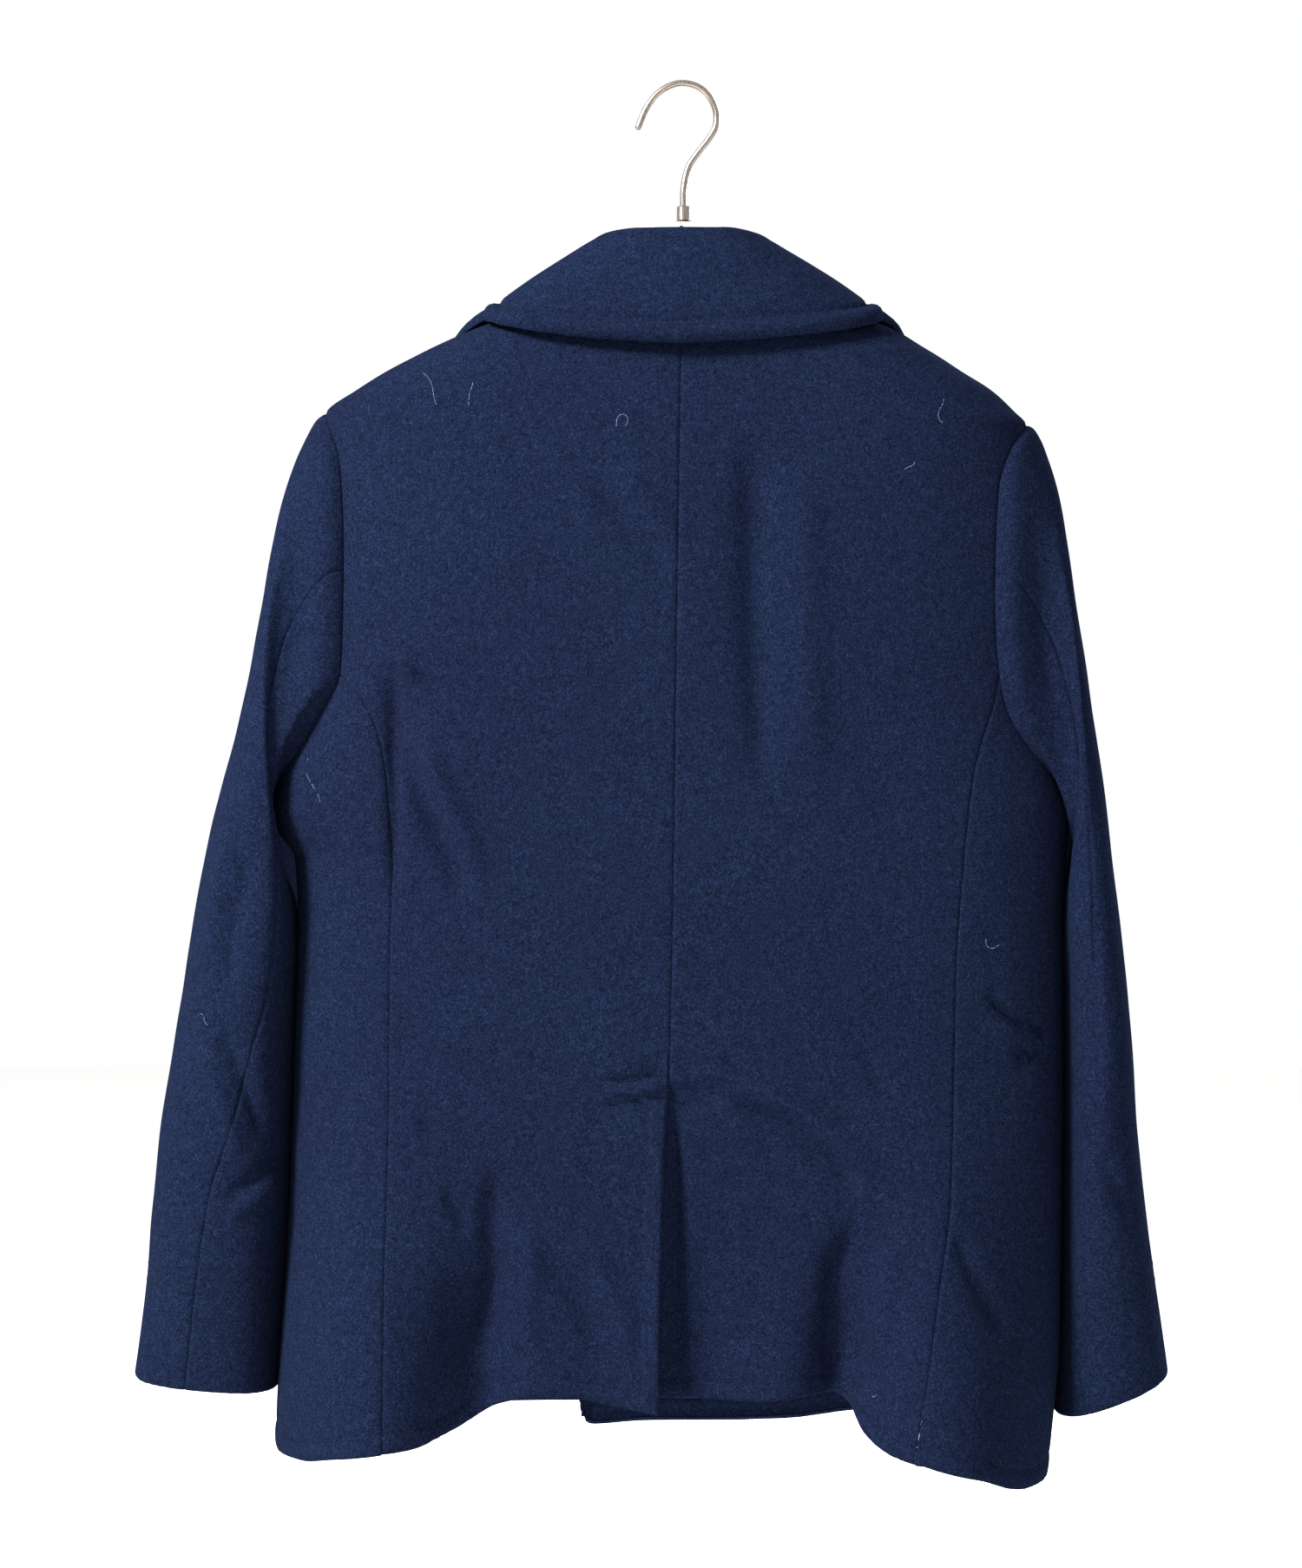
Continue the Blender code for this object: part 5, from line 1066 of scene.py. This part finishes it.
# ==== The two lapels ================================================================================
# The facings of the fronts, turned back on the chest from the collar's end down to the break. The left
# front covers the lower end of the right lapel.
LAPEL_CLOTH = 0.003
LAPEL_INSET = 0.0095
LapelRow = namedtuple("LapelRow", "share out_x out_drop")
LAPEL = [                     # the lapel's outer edge, from its peak down to the break
    LapelRow(0.00, 0.170, 0.2420), LapelRow(0.15, 0.160, 0.2680), LapelRow(0.35, 0.136, 0.3020),
    LapelRow(0.60, 0.095, 0.3420), LapelRow(0.80, 0.050, 0.3700), LapelRow(1.00, -0.030, 0.3820),
]
LapelColumn = namedtuple("LapelColumn", "across lift")
LAPEL_COLUMNS = [             # the roll stands off the front, and the lapel lies down towards its edge
    LapelColumn(0.00, 0.0038), LapelColumn(0.05, 0.0085), LapelColumn(0.14, 0.0105),
    LapelColumn(0.32, 0.0085), LapelColumn(0.60, 0.0055), LapelColumn(1.00, 0.0045),
]
GORGE_SHARE = 0.275
LapelEnd = namedtuple("LapelEnd", "inner outer")
LAPEL_END = {LEFT: LapelEnd(0.960, 0.98), RIGHT: LapelEnd(0.520, 0.66)}


def lapel_grid(side, shares, across):
    """Points of the lapel, from the roll line out to its edge."""
    neck, end = NECK_DROP[side], LAPEL_END[side]
    roll_share = GORGE_SHARE + (end.inner - GORGE_SHARE) * shares
    drop = neck + (BREAK_DROP - neck) * roll_share
    start_x = side * WIDTH[side](neck)
    x = start_x + (FRONT_EDGE[side] - start_x) * roll_share ** ROLL_BEND
    far_x = side * track([(row.share, row.out_x) for row in LAPEL])(end.outer * shares)
    far_drop = track([(row.share, row.out_drop) for row in LAPEL])(end.outer * shares)
    at_x = x[:, None] + (far_x - x)[:, None] * across
    at_drop = drop[:, None] + (far_drop - drop)[:, None] * across
    turn = turn_at(side, at_x, at_drop, front=True)
    lift = track([(column.across, column.lift) for column in LAPEL_COLUMNS])(across)
    return body_point(side, turn, at_drop) + body_normal(side, turn, at_drop) * lift[None, :, None]


lapel_grids = {}
for side, word in ((LEFT, "left"), (RIGHT, "right")):
    shares = np.unique(np.concatenate((np.linspace(0, 1, 61), 1 - near * 0.2, near * 0.2)))
    across = np.unique(np.concatenate((np.linspace(0, 1, 31), 1 - near * 0.35)))
    points = lapel_grid(side, shares, across)
    normals = normals_of(points)
    if normals[30, 15, 1] < 0.0:
        normals = -normals
    edges = [points[:, -1], points[0], points[-1]]
    lapel = dress(points, normals, [], edges, drape(points, 3.0), inset=LAPEL_INSET)
    lapel_grids[side] = lapel
    piece = cloth_piece("melton_lapel_" + word, [(lapel, normals)], LAPEL_CLOTH, melton)
    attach(piece, "root")
    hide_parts("lapel_" + word)

# ==== Topstitching ==================================================================================
# Navy thread sewn through the turned edges: along the collar, the lapels, the front edges and the hem,
# twice round each cuff, and down the slant at the vent's top. In thick wool it sinks to small dashes.
STITCH_PITCH = 0.0034
STITCH_SIZE = (1.20, 0.34, 0.26)            # half length, half width and half height in millimetres
HEM_INSET, CUFF_INSETS = STITCH_INSET, (0.0650, 0.0760)
COLLAR_FRONT_START, HEM_END, LAPEL_TOP_START, LAPEL_LOW_END = 0.040, 0.004, 0.006, 0.002
VENT_TACKS = (((-0.0080, 0.6487), (-0.0574, 0.6565)), ((-0.0080, 0.6626), (-0.0574, 0.6700)))
TACK_RISE, TACK_STEPS = 0.0002, 12


def inset_path(grid, inset, edge):
    """Points a set distance in from one edge of a grid: its top, bottom, left or right."""
    if edge in ("left", "right"):
        grid = grid.swapaxes(0, 1)
    if edge in ("bottom", "right"):
        grid = grid[::-1]
    run = np.concatenate((np.zeros((1, grid.shape[1])),
                          np.cumsum(np.linalg.norm(np.diff(grid, axis=0), axis=2), axis=0)))
    return np.array([[np.interp(inset, run[:, j], grid[:, j, axis]) for axis in range(3)]
                     for j in range(grid.shape[1])])


def stitch_tree(thread):
    """A node tree that sets a small thread dash at every pitch along the edges of a mesh."""
    tree = bpy.data.node_groups.new("stitches along a line", "GeometryNodeTree")
    face = tree.interface
    face.new_socket("Geometry", in_out="INPUT", socket_type="NodeSocketGeometry")
    face.new_socket("Pitch", in_out="INPUT", socket_type="NodeSocketFloat")
    face.new_socket("Size", in_out="INPUT", socket_type="NodeSocketVector")
    face.new_socket("Seed", in_out="INPUT", socket_type="NodeSocketInt")
    face.new_socket("Geometry", in_out="OUTPUT", socket_type="NodeSocketGeometry")
    source = add_node(tree, "NodeGroupInput")
    curve = add_node(tree, "GeometryNodeMeshToCurve", {"Mesh": source.outputs["Geometry"]})
    spots = add_node(tree, "GeometryNodeCurveToPoints", {"Curve": curve.outputs["Curve"],
                                                         "Length": source.outputs["Pitch"]}, mode="LENGTH")
    along = add_node(tree, "FunctionNodeAlignRotationToVector", {"Vector": spots.outputs["Tangent"]},
                     axis="X")
    ball = add_node(tree, "GeometryNodeMeshUVSphere", {"Segments": 6, "Rings": 4, "Radius": 0.001})
    uneven = add_node(tree, "FunctionNodeRandomValue", {2: 0.85, 3: 1.15, "Seed": source.outputs["Seed"]},
                      data_type="FLOAT")
    size = add_node(tree, "ShaderNodeVectorMath", {0: source.outputs["Size"], "Scale": uneven.outputs[1]},
                    operation="SCALE")
    dashes = add_node(tree, "GeometryNodeInstanceOnPoints",
                      {"Points": spots.outputs["Points"], "Instance": ball.outputs["Mesh"],
                       "Rotation": along.outputs["Rotation"], "Scale": size.outputs["Vector"]})
    real = add_node(tree, "GeometryNodeRealizeInstances", {"Geometry": dashes.outputs["Instances"]})
    painted = add_node(tree, "GeometryNodeSetMaterial", {"Geometry": real.outputs["Geometry"],
                                                         "Material": thread})
    sink = add_node(tree, "NodeGroupOutput")
    tree.links.new(painted.outputs["Geometry"], sink.inputs["Geometry"])
    return tree


def stitched_lines(name, paths, tree, seed):
    """The stitches along some paths, as one mesh."""
    points, links = [], []
    for path in paths:
        links += [(len(points) + i, len(points) + i + 1) for i in range(len(path) - 1)]
        points += path.tolist()
    mesh = bpy.data.meshes.new(name)
    mesh.from_pydata(points, links, [])
    piece = add_object(name, mesh)
    sewing = piece.modifiers.new("sewing", "NODES")
    sewing.node_group = tree
    values = {"Pitch": STITCH_PITCH, "Size": STITCH_SIZE, "Seed": seed}
    for socket in tree.interface.items_tree:
        if socket.in_out == "INPUT" and socket.name in values:
            sewing[socket.identifier] = values[socket.name]
    applied(piece)
    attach(piece, "root")
    return piece


# Matt polyester-cotton thread, darker than the wool, with its ply as a fine cross shading.
# The darkness is partly the thread's own navy and partly painted shade of the dips where it sinks into the
# cloth.
thread, tree, shader = new_material("navy sewing thread")
place = add_node(tree, "ShaderNodeTexCoord").outputs["Object"]
ply = add_node(tree, "ShaderNodeTexNoise", {"Vector": place, "Scale": 1800.0, "Detail": 1.0})
tone = add_node(tree, "ShaderNodeValToRGB", {"Fac": ply.outputs["Fac"]})
# Near-black navy: the thread's colour, darkened further as painted shade of the sunken stitches.
tone.color_ramp.elements[0].color = linear("#05080f")
tone.color_ramp.elements[1].color = linear("#0a0f1b")
tree.links.new(tone.outputs["Color"], shader.inputs["Base Color"])
shader.inputs["Roughness"].default_value = 0.95
shader.inputs["Specular IOR Level"].default_value = 0.05

sewing_tree = stitch_tree(thread)
collar_paths = [trimmed(inset_path(collar_grid, COLLAR_INSET, "right"), COLLAR_INSET, COLLAR_INSET)]
collar_paths += [trimmed(inset_path(collar_grid, COLLAR_INSET, edge), COLLAR_FRONT_START, COLLAR_INSET)
                 for edge in ("top", "bottom")]
stitched_lines("stitches_collar", collar_paths, sewing_tree, 1)
cuff_paths = []
for side in (LEFT, RIGHT):
    around = np.concatenate((sleeve_grids[side], sleeve_grids[side][:, :1]), axis=1)
    cuff_paths += [trimmed(inset_path(around, inset, "bottom")) for inset in CUFF_INSETS]
stitched_lines("stitches_cuffs", cuff_paths, sewing_tree, 2)
hem_paths = []
for side in (LEFT, RIGHT):
    hem_paths.append(trimmed(inset_path(back_grids[side], HEM_INSET, "bottom"), HEM_END, HEM_END))
    low_front = front_grids[side][1][0]
    hem_paths.append(trimmed(inset_path(low_front, HEM_INSET, "bottom"), HEM_END, HEM_INSET))
    hem_paths.append(trimmed(inset_path(low_front, HEM_INSET, "right"), 0.0, HEM_INSET))
stitched_lines("stitches_hem_and_fronts", hem_paths, sewing_tree, 3)
left_back = back_grids[LEFT].reshape(-1, 3)
left_back_at = search_tree([(x, 0.0, z) for x, _, z in left_back])
tack_paths = []
for (x_start, start_drop), (x_end, end_drop) in VENT_TACKS:
    tack = []
    for t in np.linspace(0.0, 1.0, TACK_STEPS):
        x, z = x_start + (x_end - x_start) * t, -start_drop - (end_drop - start_drop) * t
        tack.append((x, left_back[left_back_at.find((x, 0.0, z))[1]][1] - TACK_RISE, z))
    tack_paths.append(np.array(tack))
stitched_lines("stitches_vent_top", tack_paths, sewing_tree, 5)
lapel_paths = []
for side in (LEFT, RIGHT):
    lapel_paths.append(trimmed(inset_path(lapel_grids[side], LAPEL_INSET, "right"), LAPEL_INSET,
                               LAPEL_LOW_END))
    lapel_paths.append(trimmed(inset_path(lapel_grids[side], LAPEL_INSET, "top"), LAPEL_TOP_START,
                               LAPEL_INSET))
stitched_lines("stitches_lapels", lapel_paths, sewing_tree, 4)

# ==== The six buttons ===============================================================================
# Turned from dark resin with a raised rim and four holes, 29 mm across, and sewn to the left front with
# a shank of thread in two rows of three.
BUTTON_DROPS, BUTTON_X = (0.430, 0.545, 0.660), (-0.077, 0.056)
BUTTON_RADIUS, BUTTON_THICK, BUTTON_GAP = 0.0145, 0.0040, 0.0008
HOLE_RADIUS, HOLE_OFFSET, BUTTON_SIDES = 0.00115, 0.0026, 64
BUTTON_PROFILE = [            # radius as a share of the button's, height as a share of its thickness
    (0.00, 0.66), (0.42, 0.66), (0.58, 0.70), (0.68, 0.82), (0.76, 0.96), (0.82, 1.00), (0.88, 1.00),
    (0.94, 0.95), (0.98, 0.80), (1.00, 0.60), (1.00, 0.36), (0.97, 0.16), (0.90, 0.04), (0.84, 0.00),
    (0.00, 0.00),
]
THREAD_RADIUS, STRAND_SHIFT, STRAND_RISE = 0.00042, 0.0003, 0.0016
STRAND_ARCH = [               # along and above the face, as shares of the holes' offset and of the rise
    (-1.0, -0.5), (-0.92, 0.10), (-0.6, 0.40), (0.0, 0.52), (0.6, 0.40), (0.92, 0.10), (1.0, -0.5),
]


def plain_mesh(shell, name):
    """A new mesh from a bmesh, which is freed."""
    mesh = bpy.data.meshes.new(name)
    shell.to_mesh(mesh)
    shell.free()
    return mesh


def turned_mesh(name, profile, sides):
    """Turn a profile of (radius, height) points round the Z axis."""
    shell = bmesh.new()
    rim = [shell.verts.new((radius, 0.0, height)) for radius, height in profile]
    links = [shell.edges.new(pair_of) for pair_of in zip(rim, rim[1:])]
    bmesh.ops.spin(shell, geom=rim + links, cent=(0, 0, 0), axis=(0, 0, 1), angle=2 * math.pi,
                   steps=sides, use_merge=True)
    bmesh.ops.remove_doubles(shell, verts=shell.verts, dist=0.00001)
    bmesh.ops.recalc_face_normals(shell, faces=shell.faces)
    return plain_mesh(shell, name)


def cut_away(piece, drills, name, sharp=40.0):
    """Cut the drills' shapes out of a piece."""
    cutter = add_object(name, plain_mesh(drills, name))
    cut = piece.modifiers.new("holes", "BOOLEAN")
    cut.object = cutter
    cut.solver = "EXACT"
    applied(piece, sharp)
    bpy.data.objects.remove(cutter)


def round_bar(name, path, radius, sides=8):
    """A tube of one radius along a path of points, closed at its ends."""
    curve = bpy.data.curves.new(name, "CURVE")
    curve.dimensions = "3D"
    spline = curve.splines.new("POLY")
    spline.points.add(len(path) - 1)
    for point, place in zip(spline.points, path):
        point.co = (place[0], place[1], place[2], 1.0)
    curve.bevel_depth = radius
    curve.bevel_resolution = sides // 2 - 2
    curve.use_fill_caps = True
    piece = add_object(name, curve)
    bpy.context.view_layer.update()
    mesh = bpy.data.meshes.new_from_object(piece.evaluated_get(bpy.context.evaluated_depsgraph_get()))
    bpy.data.objects.remove(piece)
    return mesh


# Cast resin is glossy and almost black, with faint brown clouds in its depth that the light picks out.
resin, tree, shader = new_material("polished dark resin")
place = add_node(tree, "ShaderNodeTexCoord").outputs["Object"]
clouds = add_node(tree, "ShaderNodeTexNoise", {"Vector": place, "Scale": 160.0, "Detail": 3.0,
                                               "Distortion": 1.2})
tone = add_node(tree, "ShaderNodeValToRGB", {"Fac": clouds.outputs["Fac"]})
tone.color_ramp.elements[0].position = 0.35
tone.color_ramp.elements[0].color = linear("#0d0f14")
tone.color_ramp.elements[1].position = 0.75
tone.color_ramp.elements[1].color = linear("#232229")
tree.links.new(tone.outputs["Color"], shader.inputs["Base Color"])
scuffs = add_node(tree, "ShaderNodeTexNoise", {"Vector": place, "Scale": 900.0, "Detail": 2.0})
fine_scuffs = add_node(tree, "ShaderNodeBump", {"Strength": 0.08, "Distance": 0.0002,
                                                "Height": scuffs.outputs["Fac"]})
tree.links.new(fine_scuffs.outputs["Normal"], shader.inputs["Normal"])
shader.inputs["Roughness"].default_value = 0.24
shader.inputs["Specular IOR Level"].default_value = 0.5

profile = [(radius * BUTTON_RADIUS, height * BUTTON_THICK) for radius, height in BUTTON_PROFILE]
blank = add_object("button_blank", turned_mesh("button_blank", profile, BUTTON_SIDES))
drills = bmesh.new()
for x_sign in (-1, 1):
    for y_sign in (-1, 1):
        middle = Matrix.Translation((x_sign * HOLE_OFFSET, y_sign * HOLE_OFFSET, BUTTON_THICK / 2))
        bmesh.ops.create_cone(drills, cap_ends=True, segments=16, radius1=HOLE_RADIUS,
                              radius2=HOLE_RADIUS, depth=BUTTON_THICK * 3, matrix=middle)
cut_away(blank, drills, "button_drills")
button_mesh = blank.data
bpy.data.objects.remove(blank)
face_height = BUTTON_THICK * BUTTON_PROFILE[0][1]
strand_meshes = []
for y_sign in (-1, 1):
    for shift in (-STRAND_SHIFT, STRAND_SHIFT):
        path = [(x * HOLE_OFFSET, y_sign * HOLE_OFFSET + shift, face_height + lift * STRAND_RISE)
                for x, lift in STRAND_ARCH]
        strand_meshes.append(round_bar("button_strand", path, THREAD_RADIUS))


def placed(name, meshes, matrix, material):
    """One piece from some meshes, set in its place by a matrix in its mesh."""
    shell = bmesh.new()
    for mesh in meshes:
        shell.from_mesh(mesh)
    shell.transform(matrix)
    mesh = plain_mesh(shell, name)
    mesh.shade_smooth()
    mesh.set_sharp_from_angle(angle=math.radians(40.0))
    mesh.materials.append(material)
    return add_object(name, mesh)


number = 0
for x in BUTTON_X:
    for drop in BUTTON_DROPS:
        number += 1
        turn = turn_at(LEFT, x, drop, front=True)
        normal = Vector(body_normal(LEFT, turn, drop))
        base = Vector(body_point(LEFT, turn, drop)) + normal * BUTTON_GAP
        facing = Vector((0, 0, 1)).rotation_difference(normal).to_matrix().to_4x4()
        matrix = Matrix.Translation(base) @ facing
        piece = placed("resin_button_%d" % number, [button_mesh], matrix, resin)
        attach(piece, "root")
        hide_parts("button_%d" % number)
        sewn = placed("button_thread_%d" % number, strand_meshes, matrix, thread)
        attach(sewn, "root")

# ==== The hanger ====================================================================================
# A bent steel wire hook, plated and brushed, screwed through a small turned ferrule into moulded arms of
# pale grey plastic. Only the hook, the ferrule and the top of the arms show above the collar.
HOOK_WIRE = 0.0043
HOOK = [                      # centre line of the hook's wire: x, drop
    (0.0015, 0.0890), (0.0013, 0.0800), (0.0015, 0.0680), (0.0045, 0.0540), (0.0110, 0.0440),
    (0.0180, 0.0350), (0.0228, 0.0260), (0.0228, 0.0160), (0.0180, 0.0060), (0.0100, -0.0002),
    (0.0000, -0.00215), (-0.0090, 0.0003), (-0.0170, 0.0060), (-0.0235, 0.0150), (-0.0285, 0.0270),
]
HOOK_STEPS, HOOK_SIDES, HOOK_TIP_STEPS = 8, 20, 6
ArmRow = namedtuple("ArmRow", "x top height depth")
ARMS = [                      # one arm: top edge, height and depth at each x
    ArmRow(0.000, 0.0895, 0.0105, 0.0130), ArmRow(0.016, 0.0903, 0.0108, 0.0130),
    ArmRow(0.029, 0.0940, 0.0115, 0.0135), ArmRow(0.042, 0.1120, 0.0140, 0.0130),
    ArmRow(0.056, 0.1350, 0.0140, 0.0140), ArmRow(0.070, 0.1510, 0.0130, 0.0170),
    ArmRow(0.088, 0.1590, 0.0120, 0.0200), ArmRow(0.120, 0.1690, 0.0115, 0.0260),
    ArmRow(0.155, 0.1835, 0.0115, 0.0320), ArmRow(0.180, 0.1980, 0.0110, 0.0340),
    ArmRow(0.194, 0.2080, 0.0060, 0.0260),
]
ARM_SQUARE_Y, ARM_SQUARE_Z, ARM_SIDES, ARM_ROWS = 0.7, 0.8, 32, 48
RIVET_RADIUS, RIVET_DROP, RIVET_DEPTH = 0.0012, 0.0940, 0.0035

# Plated steel, brushed along the wire: a warm bright grey with fine streaks in its gloss.
steel, tree, shader = new_material("brushed plated steel")
place = add_node(tree, "ShaderNodeTexCoord").outputs["Object"]
stretched = add_node(tree, "ShaderNodeMapping", {"Vector": place, "Scale": (2500.0, 2500.0, 260.0)})
streaks = add_node(tree, "ShaderNodeTexNoise", {"Vector": stretched.outputs["Vector"], "Scale": 1.0,
                                                "Detail": 2.0})
tone = add_node(tree, "ShaderNodeValToRGB", {"Fac": streaks.outputs["Fac"]})
tone.color_ramp.elements[0].position = 0.30
tone.color_ramp.elements[0].color = linear("#766d66")
tone.color_ramp.elements[1].position = 0.70
tone.color_ramp.elements[1].color = linear("#a0968d")
tree.links.new(tone.outputs["Color"], shader.inputs["Base Color"])
gloss = add_node(tree, "ShaderNodeMapRange", {"Value": streaks.outputs["Fac"], "To Min": 0.20,
                                              "To Max": 0.38})
tree.links.new(gloss.outputs["Result"], shader.inputs["Roughness"])
shader.inputs["Metallic"].default_value = 1.0

wire = []
for i in range(len(HOOK) - 1):
    a, b = Vector(HOOK[i]), Vector(HOOK[i + 1])
    before, after = Vector(HOOK[max(0, i - 1)]), Vector(HOOK[min(len(HOOK) - 1, i + 2)])
    for k in range(HOOK_STEPS):
        t = k / HOOK_STEPS
        wire.append(0.5 * (2 * a + (b - before) * t + (2 * before - 5 * a + 4 * b - after) * t * t
                           + (3 * a - before - 3 * b + after) * t ** 3))
wire.append(Vector(HOOK[-1]))


def wire_ring(spot, way, radius):
    """Points round the wire at a spot on its centre line."""
    side_way = Vector((-way[1], way[0]))
    return [(spot[0] + side_way[0] * radius * math.cos(a), radius * math.sin(a),
             -spot[1] - side_way[1] * radius * math.cos(a))
            for a in np.linspace(0, 2 * math.pi, HOOK_SIDES, endpoint=False)]


def lofted(rings, name):
    """A closed mesh through rings of points, with both ends filled."""
    shell = bmesh.new()
    rings = [[shell.verts.new(point) for point in ring] for ring in rings]
    for a, b in zip(rings, rings[1:]):
        for k in range(len(a)):
            n = (k + 1) % len(a)
            shell.faces.new((a[k], a[n], b[n], b[k]))
    shell.faces.new(rings[0])
    shell.faces.new(rings[-1])
    bmesh.ops.recalc_face_normals(shell, faces=shell.faces)
    return plain_mesh(shell, name)


rings = []
for i, spot in enumerate(wire):
    way = (wire[min(i + 1, len(wire) - 1)] - wire[max(i - 1, 0)]).normalized()
    rings.append(wire_ring(spot, way, HOOK_WIRE / 2))
tip, way = wire[-1], (wire[-1] - wire[-2]).normalized()
for k in range(1, HOOK_TIP_STEPS):
    lean = math.pi / 2 * k / HOOK_TIP_STEPS
    rings.append(wire_ring(tip + way * HOOK_WIRE / 2 * math.sin(lean), way, HOOK_WIRE / 2 * math.cos(lean)))
hook_mesh = lofted(rings, "steel_hook")
hook_mesh.shade_smooth()
hook_mesh.set_sharp_from_angle(angle=math.radians(50.0))
hook_mesh.materials.append(steel)
piece = add_object("steel_hook", hook_mesh)
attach(piece, "root")
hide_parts("hanger_hook")

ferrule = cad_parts["hanger_ferrule"]
for socket in ferrule.material_slots:
    socket.material = steel

# Moulded polystyrene in pale silver grey, softly glossy, with a barely seen orange-peel skin.
plastic, tree, shader = new_material("pale grey moulded plastic")
place = add_node(tree, "ShaderNodeTexCoord").outputs["Object"]
peel = add_node(tree, "ShaderNodeTexNoise", {"Vector": place, "Scale": 420.0, "Detail": 2.0})
tone = add_node(tree, "ShaderNodeValToRGB", {"Fac": peel.outputs["Fac"]})
tone.color_ramp.elements[0].color = linear("#b4b2ab")
tone.color_ramp.elements[1].color = linear("#c9c7c0")
tree.links.new(tone.outputs["Color"], shader.inputs["Base Color"])
skin = add_node(tree, "ShaderNodeBump", {"Strength": 0.15, "Distance": 0.0003,
                                         "Height": peel.outputs["Fac"]})
tree.links.new(skin.outputs["Normal"], shader.inputs["Normal"])
shader.inputs["Roughness"].default_value = 0.38

row_at = [track([(row.x, value) for row, value in zip(ARMS, values)]) for values in list(zip(*ARMS))[1:]]
loops = []
reach = ARMS[-1].x
for x in np.linspace(-reach, reach, 2 * ARM_ROWS + 1):
    top, tall, deep = (float(at(abs(x))) for at in row_at)
    loop = []
    for angle in np.linspace(0, 2 * math.pi, ARM_SIDES, endpoint=False):
        c, s = math.cos(angle), math.sin(angle)
        y = math.copysign(abs(c) ** ARM_SQUARE_Y, c) * deep / 2
        z = math.copysign(abs(s) ** ARM_SQUARE_Z, s) * tall / 2
        loop.append((x, y, -top - tall / 2 + z))
    loops.append(loop)
piece = add_object("plastic_arms", lofted(loops, "plastic_arms"))
hole = bmesh.new()
middle = Matrix.Translation((0.0, -ARMS[0].depth / 2, -RIVET_DROP)) @ Matrix.Rotation(math.pi / 2, 4, "X")
bmesh.ops.create_cone(hole, cap_ends=True, segments=24, radius1=RIVET_RADIUS, radius2=RIVET_RADIUS,
                      depth=2 * RIVET_DEPTH, matrix=middle)
cut_away(piece, hole, "arms_hole")
piece.data.materials.clear()
piece.data.materials.append(plastic)
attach(piece, "root")
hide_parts("hanger_arms")

# ==== Lint ==========================================================================================
# A few stray pale cotton fibres, shed by other clothes and caught in the nap. They lie curled and flat
# on the cloth, and nothing fixes them to it.
LINT_RADIUS, LINT_STEPS = 0.00007, 24
LINT_WAVE, LINT_PHASE = 3.2, 40             # how a fibre curls along itself, and how fibres differ
LintFibre = namedtuple("LintFibre", "x drop length lean curl")
LINT = [
    LintFibre(-0.1680, 0.1952, 0.024, 50, 30), LintFibre(-0.1345, 0.2007, 0.017, 95, 15),
    LintFibre(-0.0424, 0.2315, 0.020, 20, 110), LintFibre(0.1697, 0.2119, 0.018, 60, 60),
    LintFibre(0.1502, 0.2538, 0.009, 110, 50), LintFibre(-0.2432, 0.4453, 0.032, 100, 45),
    LintFibre(0.1965, 0.5608, 0.015, 30, 70), LintFibre(0.1211, 0.8511, 0.011, 80, 90),
    LintFibre(-0.3132, 0.6110, 0.010, 15, 60),
]
shown = [back_grids[LEFT], back_grids[RIGHT], sleeve_grids[LEFT], sleeve_grids[RIGHT],
         front_grids[LEFT][1][0], front_grids[RIGHT][1][0]]
marks = np.concatenate([grid.reshape(-1, 3) for grid in shown])
marks = marks[marks[:, 1] < 0.0]
on_cloth = search_tree([(x, 0.0, z) for x, _, z in marks])
fibre_meshes = []
for fibre in LINT:
    path, spot = [], np.array((fibre.x, -fibre.drop))
    for k in range(LINT_STEPS + 1):
        nearest = on_cloth.find((spot[0], 0.0, spot[1]))[1]
        path.append((spot[0], marks[nearest][1] - LINT_RADIUS * 3, spot[1]))
        curl = fibre.curl * math.sin(LINT_WAVE * k / LINT_STEPS + fibre.x * LINT_PHASE)
        lean = math.radians(fibre.lean + curl)
        spot = spot + fibre.length / LINT_STEPS * np.array((math.cos(lean), -math.sin(lean)))
    fibre_meshes.append(round_bar("lint_strand", path, LINT_RADIUS, sides=4))

# Cotton lint: matt and pale, greyed by the navy wool that shows through its thin fibres.
lint_fibre, tree, shader = new_material("pale cotton lint")
place = add_node(tree, "ShaderNodeTexCoord").outputs["Object"]
grey = add_node(tree, "ShaderNodeTexNoise", {"Vector": place, "Scale": 500.0, "Detail": 1.0})
tone = add_node(tree, "ShaderNodeValToRGB", {"Fac": grey.outputs["Fac"]})
tone.color_ramp.elements[0].color = linear("#55627e")
tone.color_ramp.elements[1].color = linear("#8f9bb4")
tree.links.new(tone.outputs["Color"], shader.inputs["Base Color"])
shader.inputs["Roughness"].default_value = 0.9
piece = placed("lint_fibres", fibre_meshes, Matrix.Identity(4), lint_fibre)
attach(piece, "root")
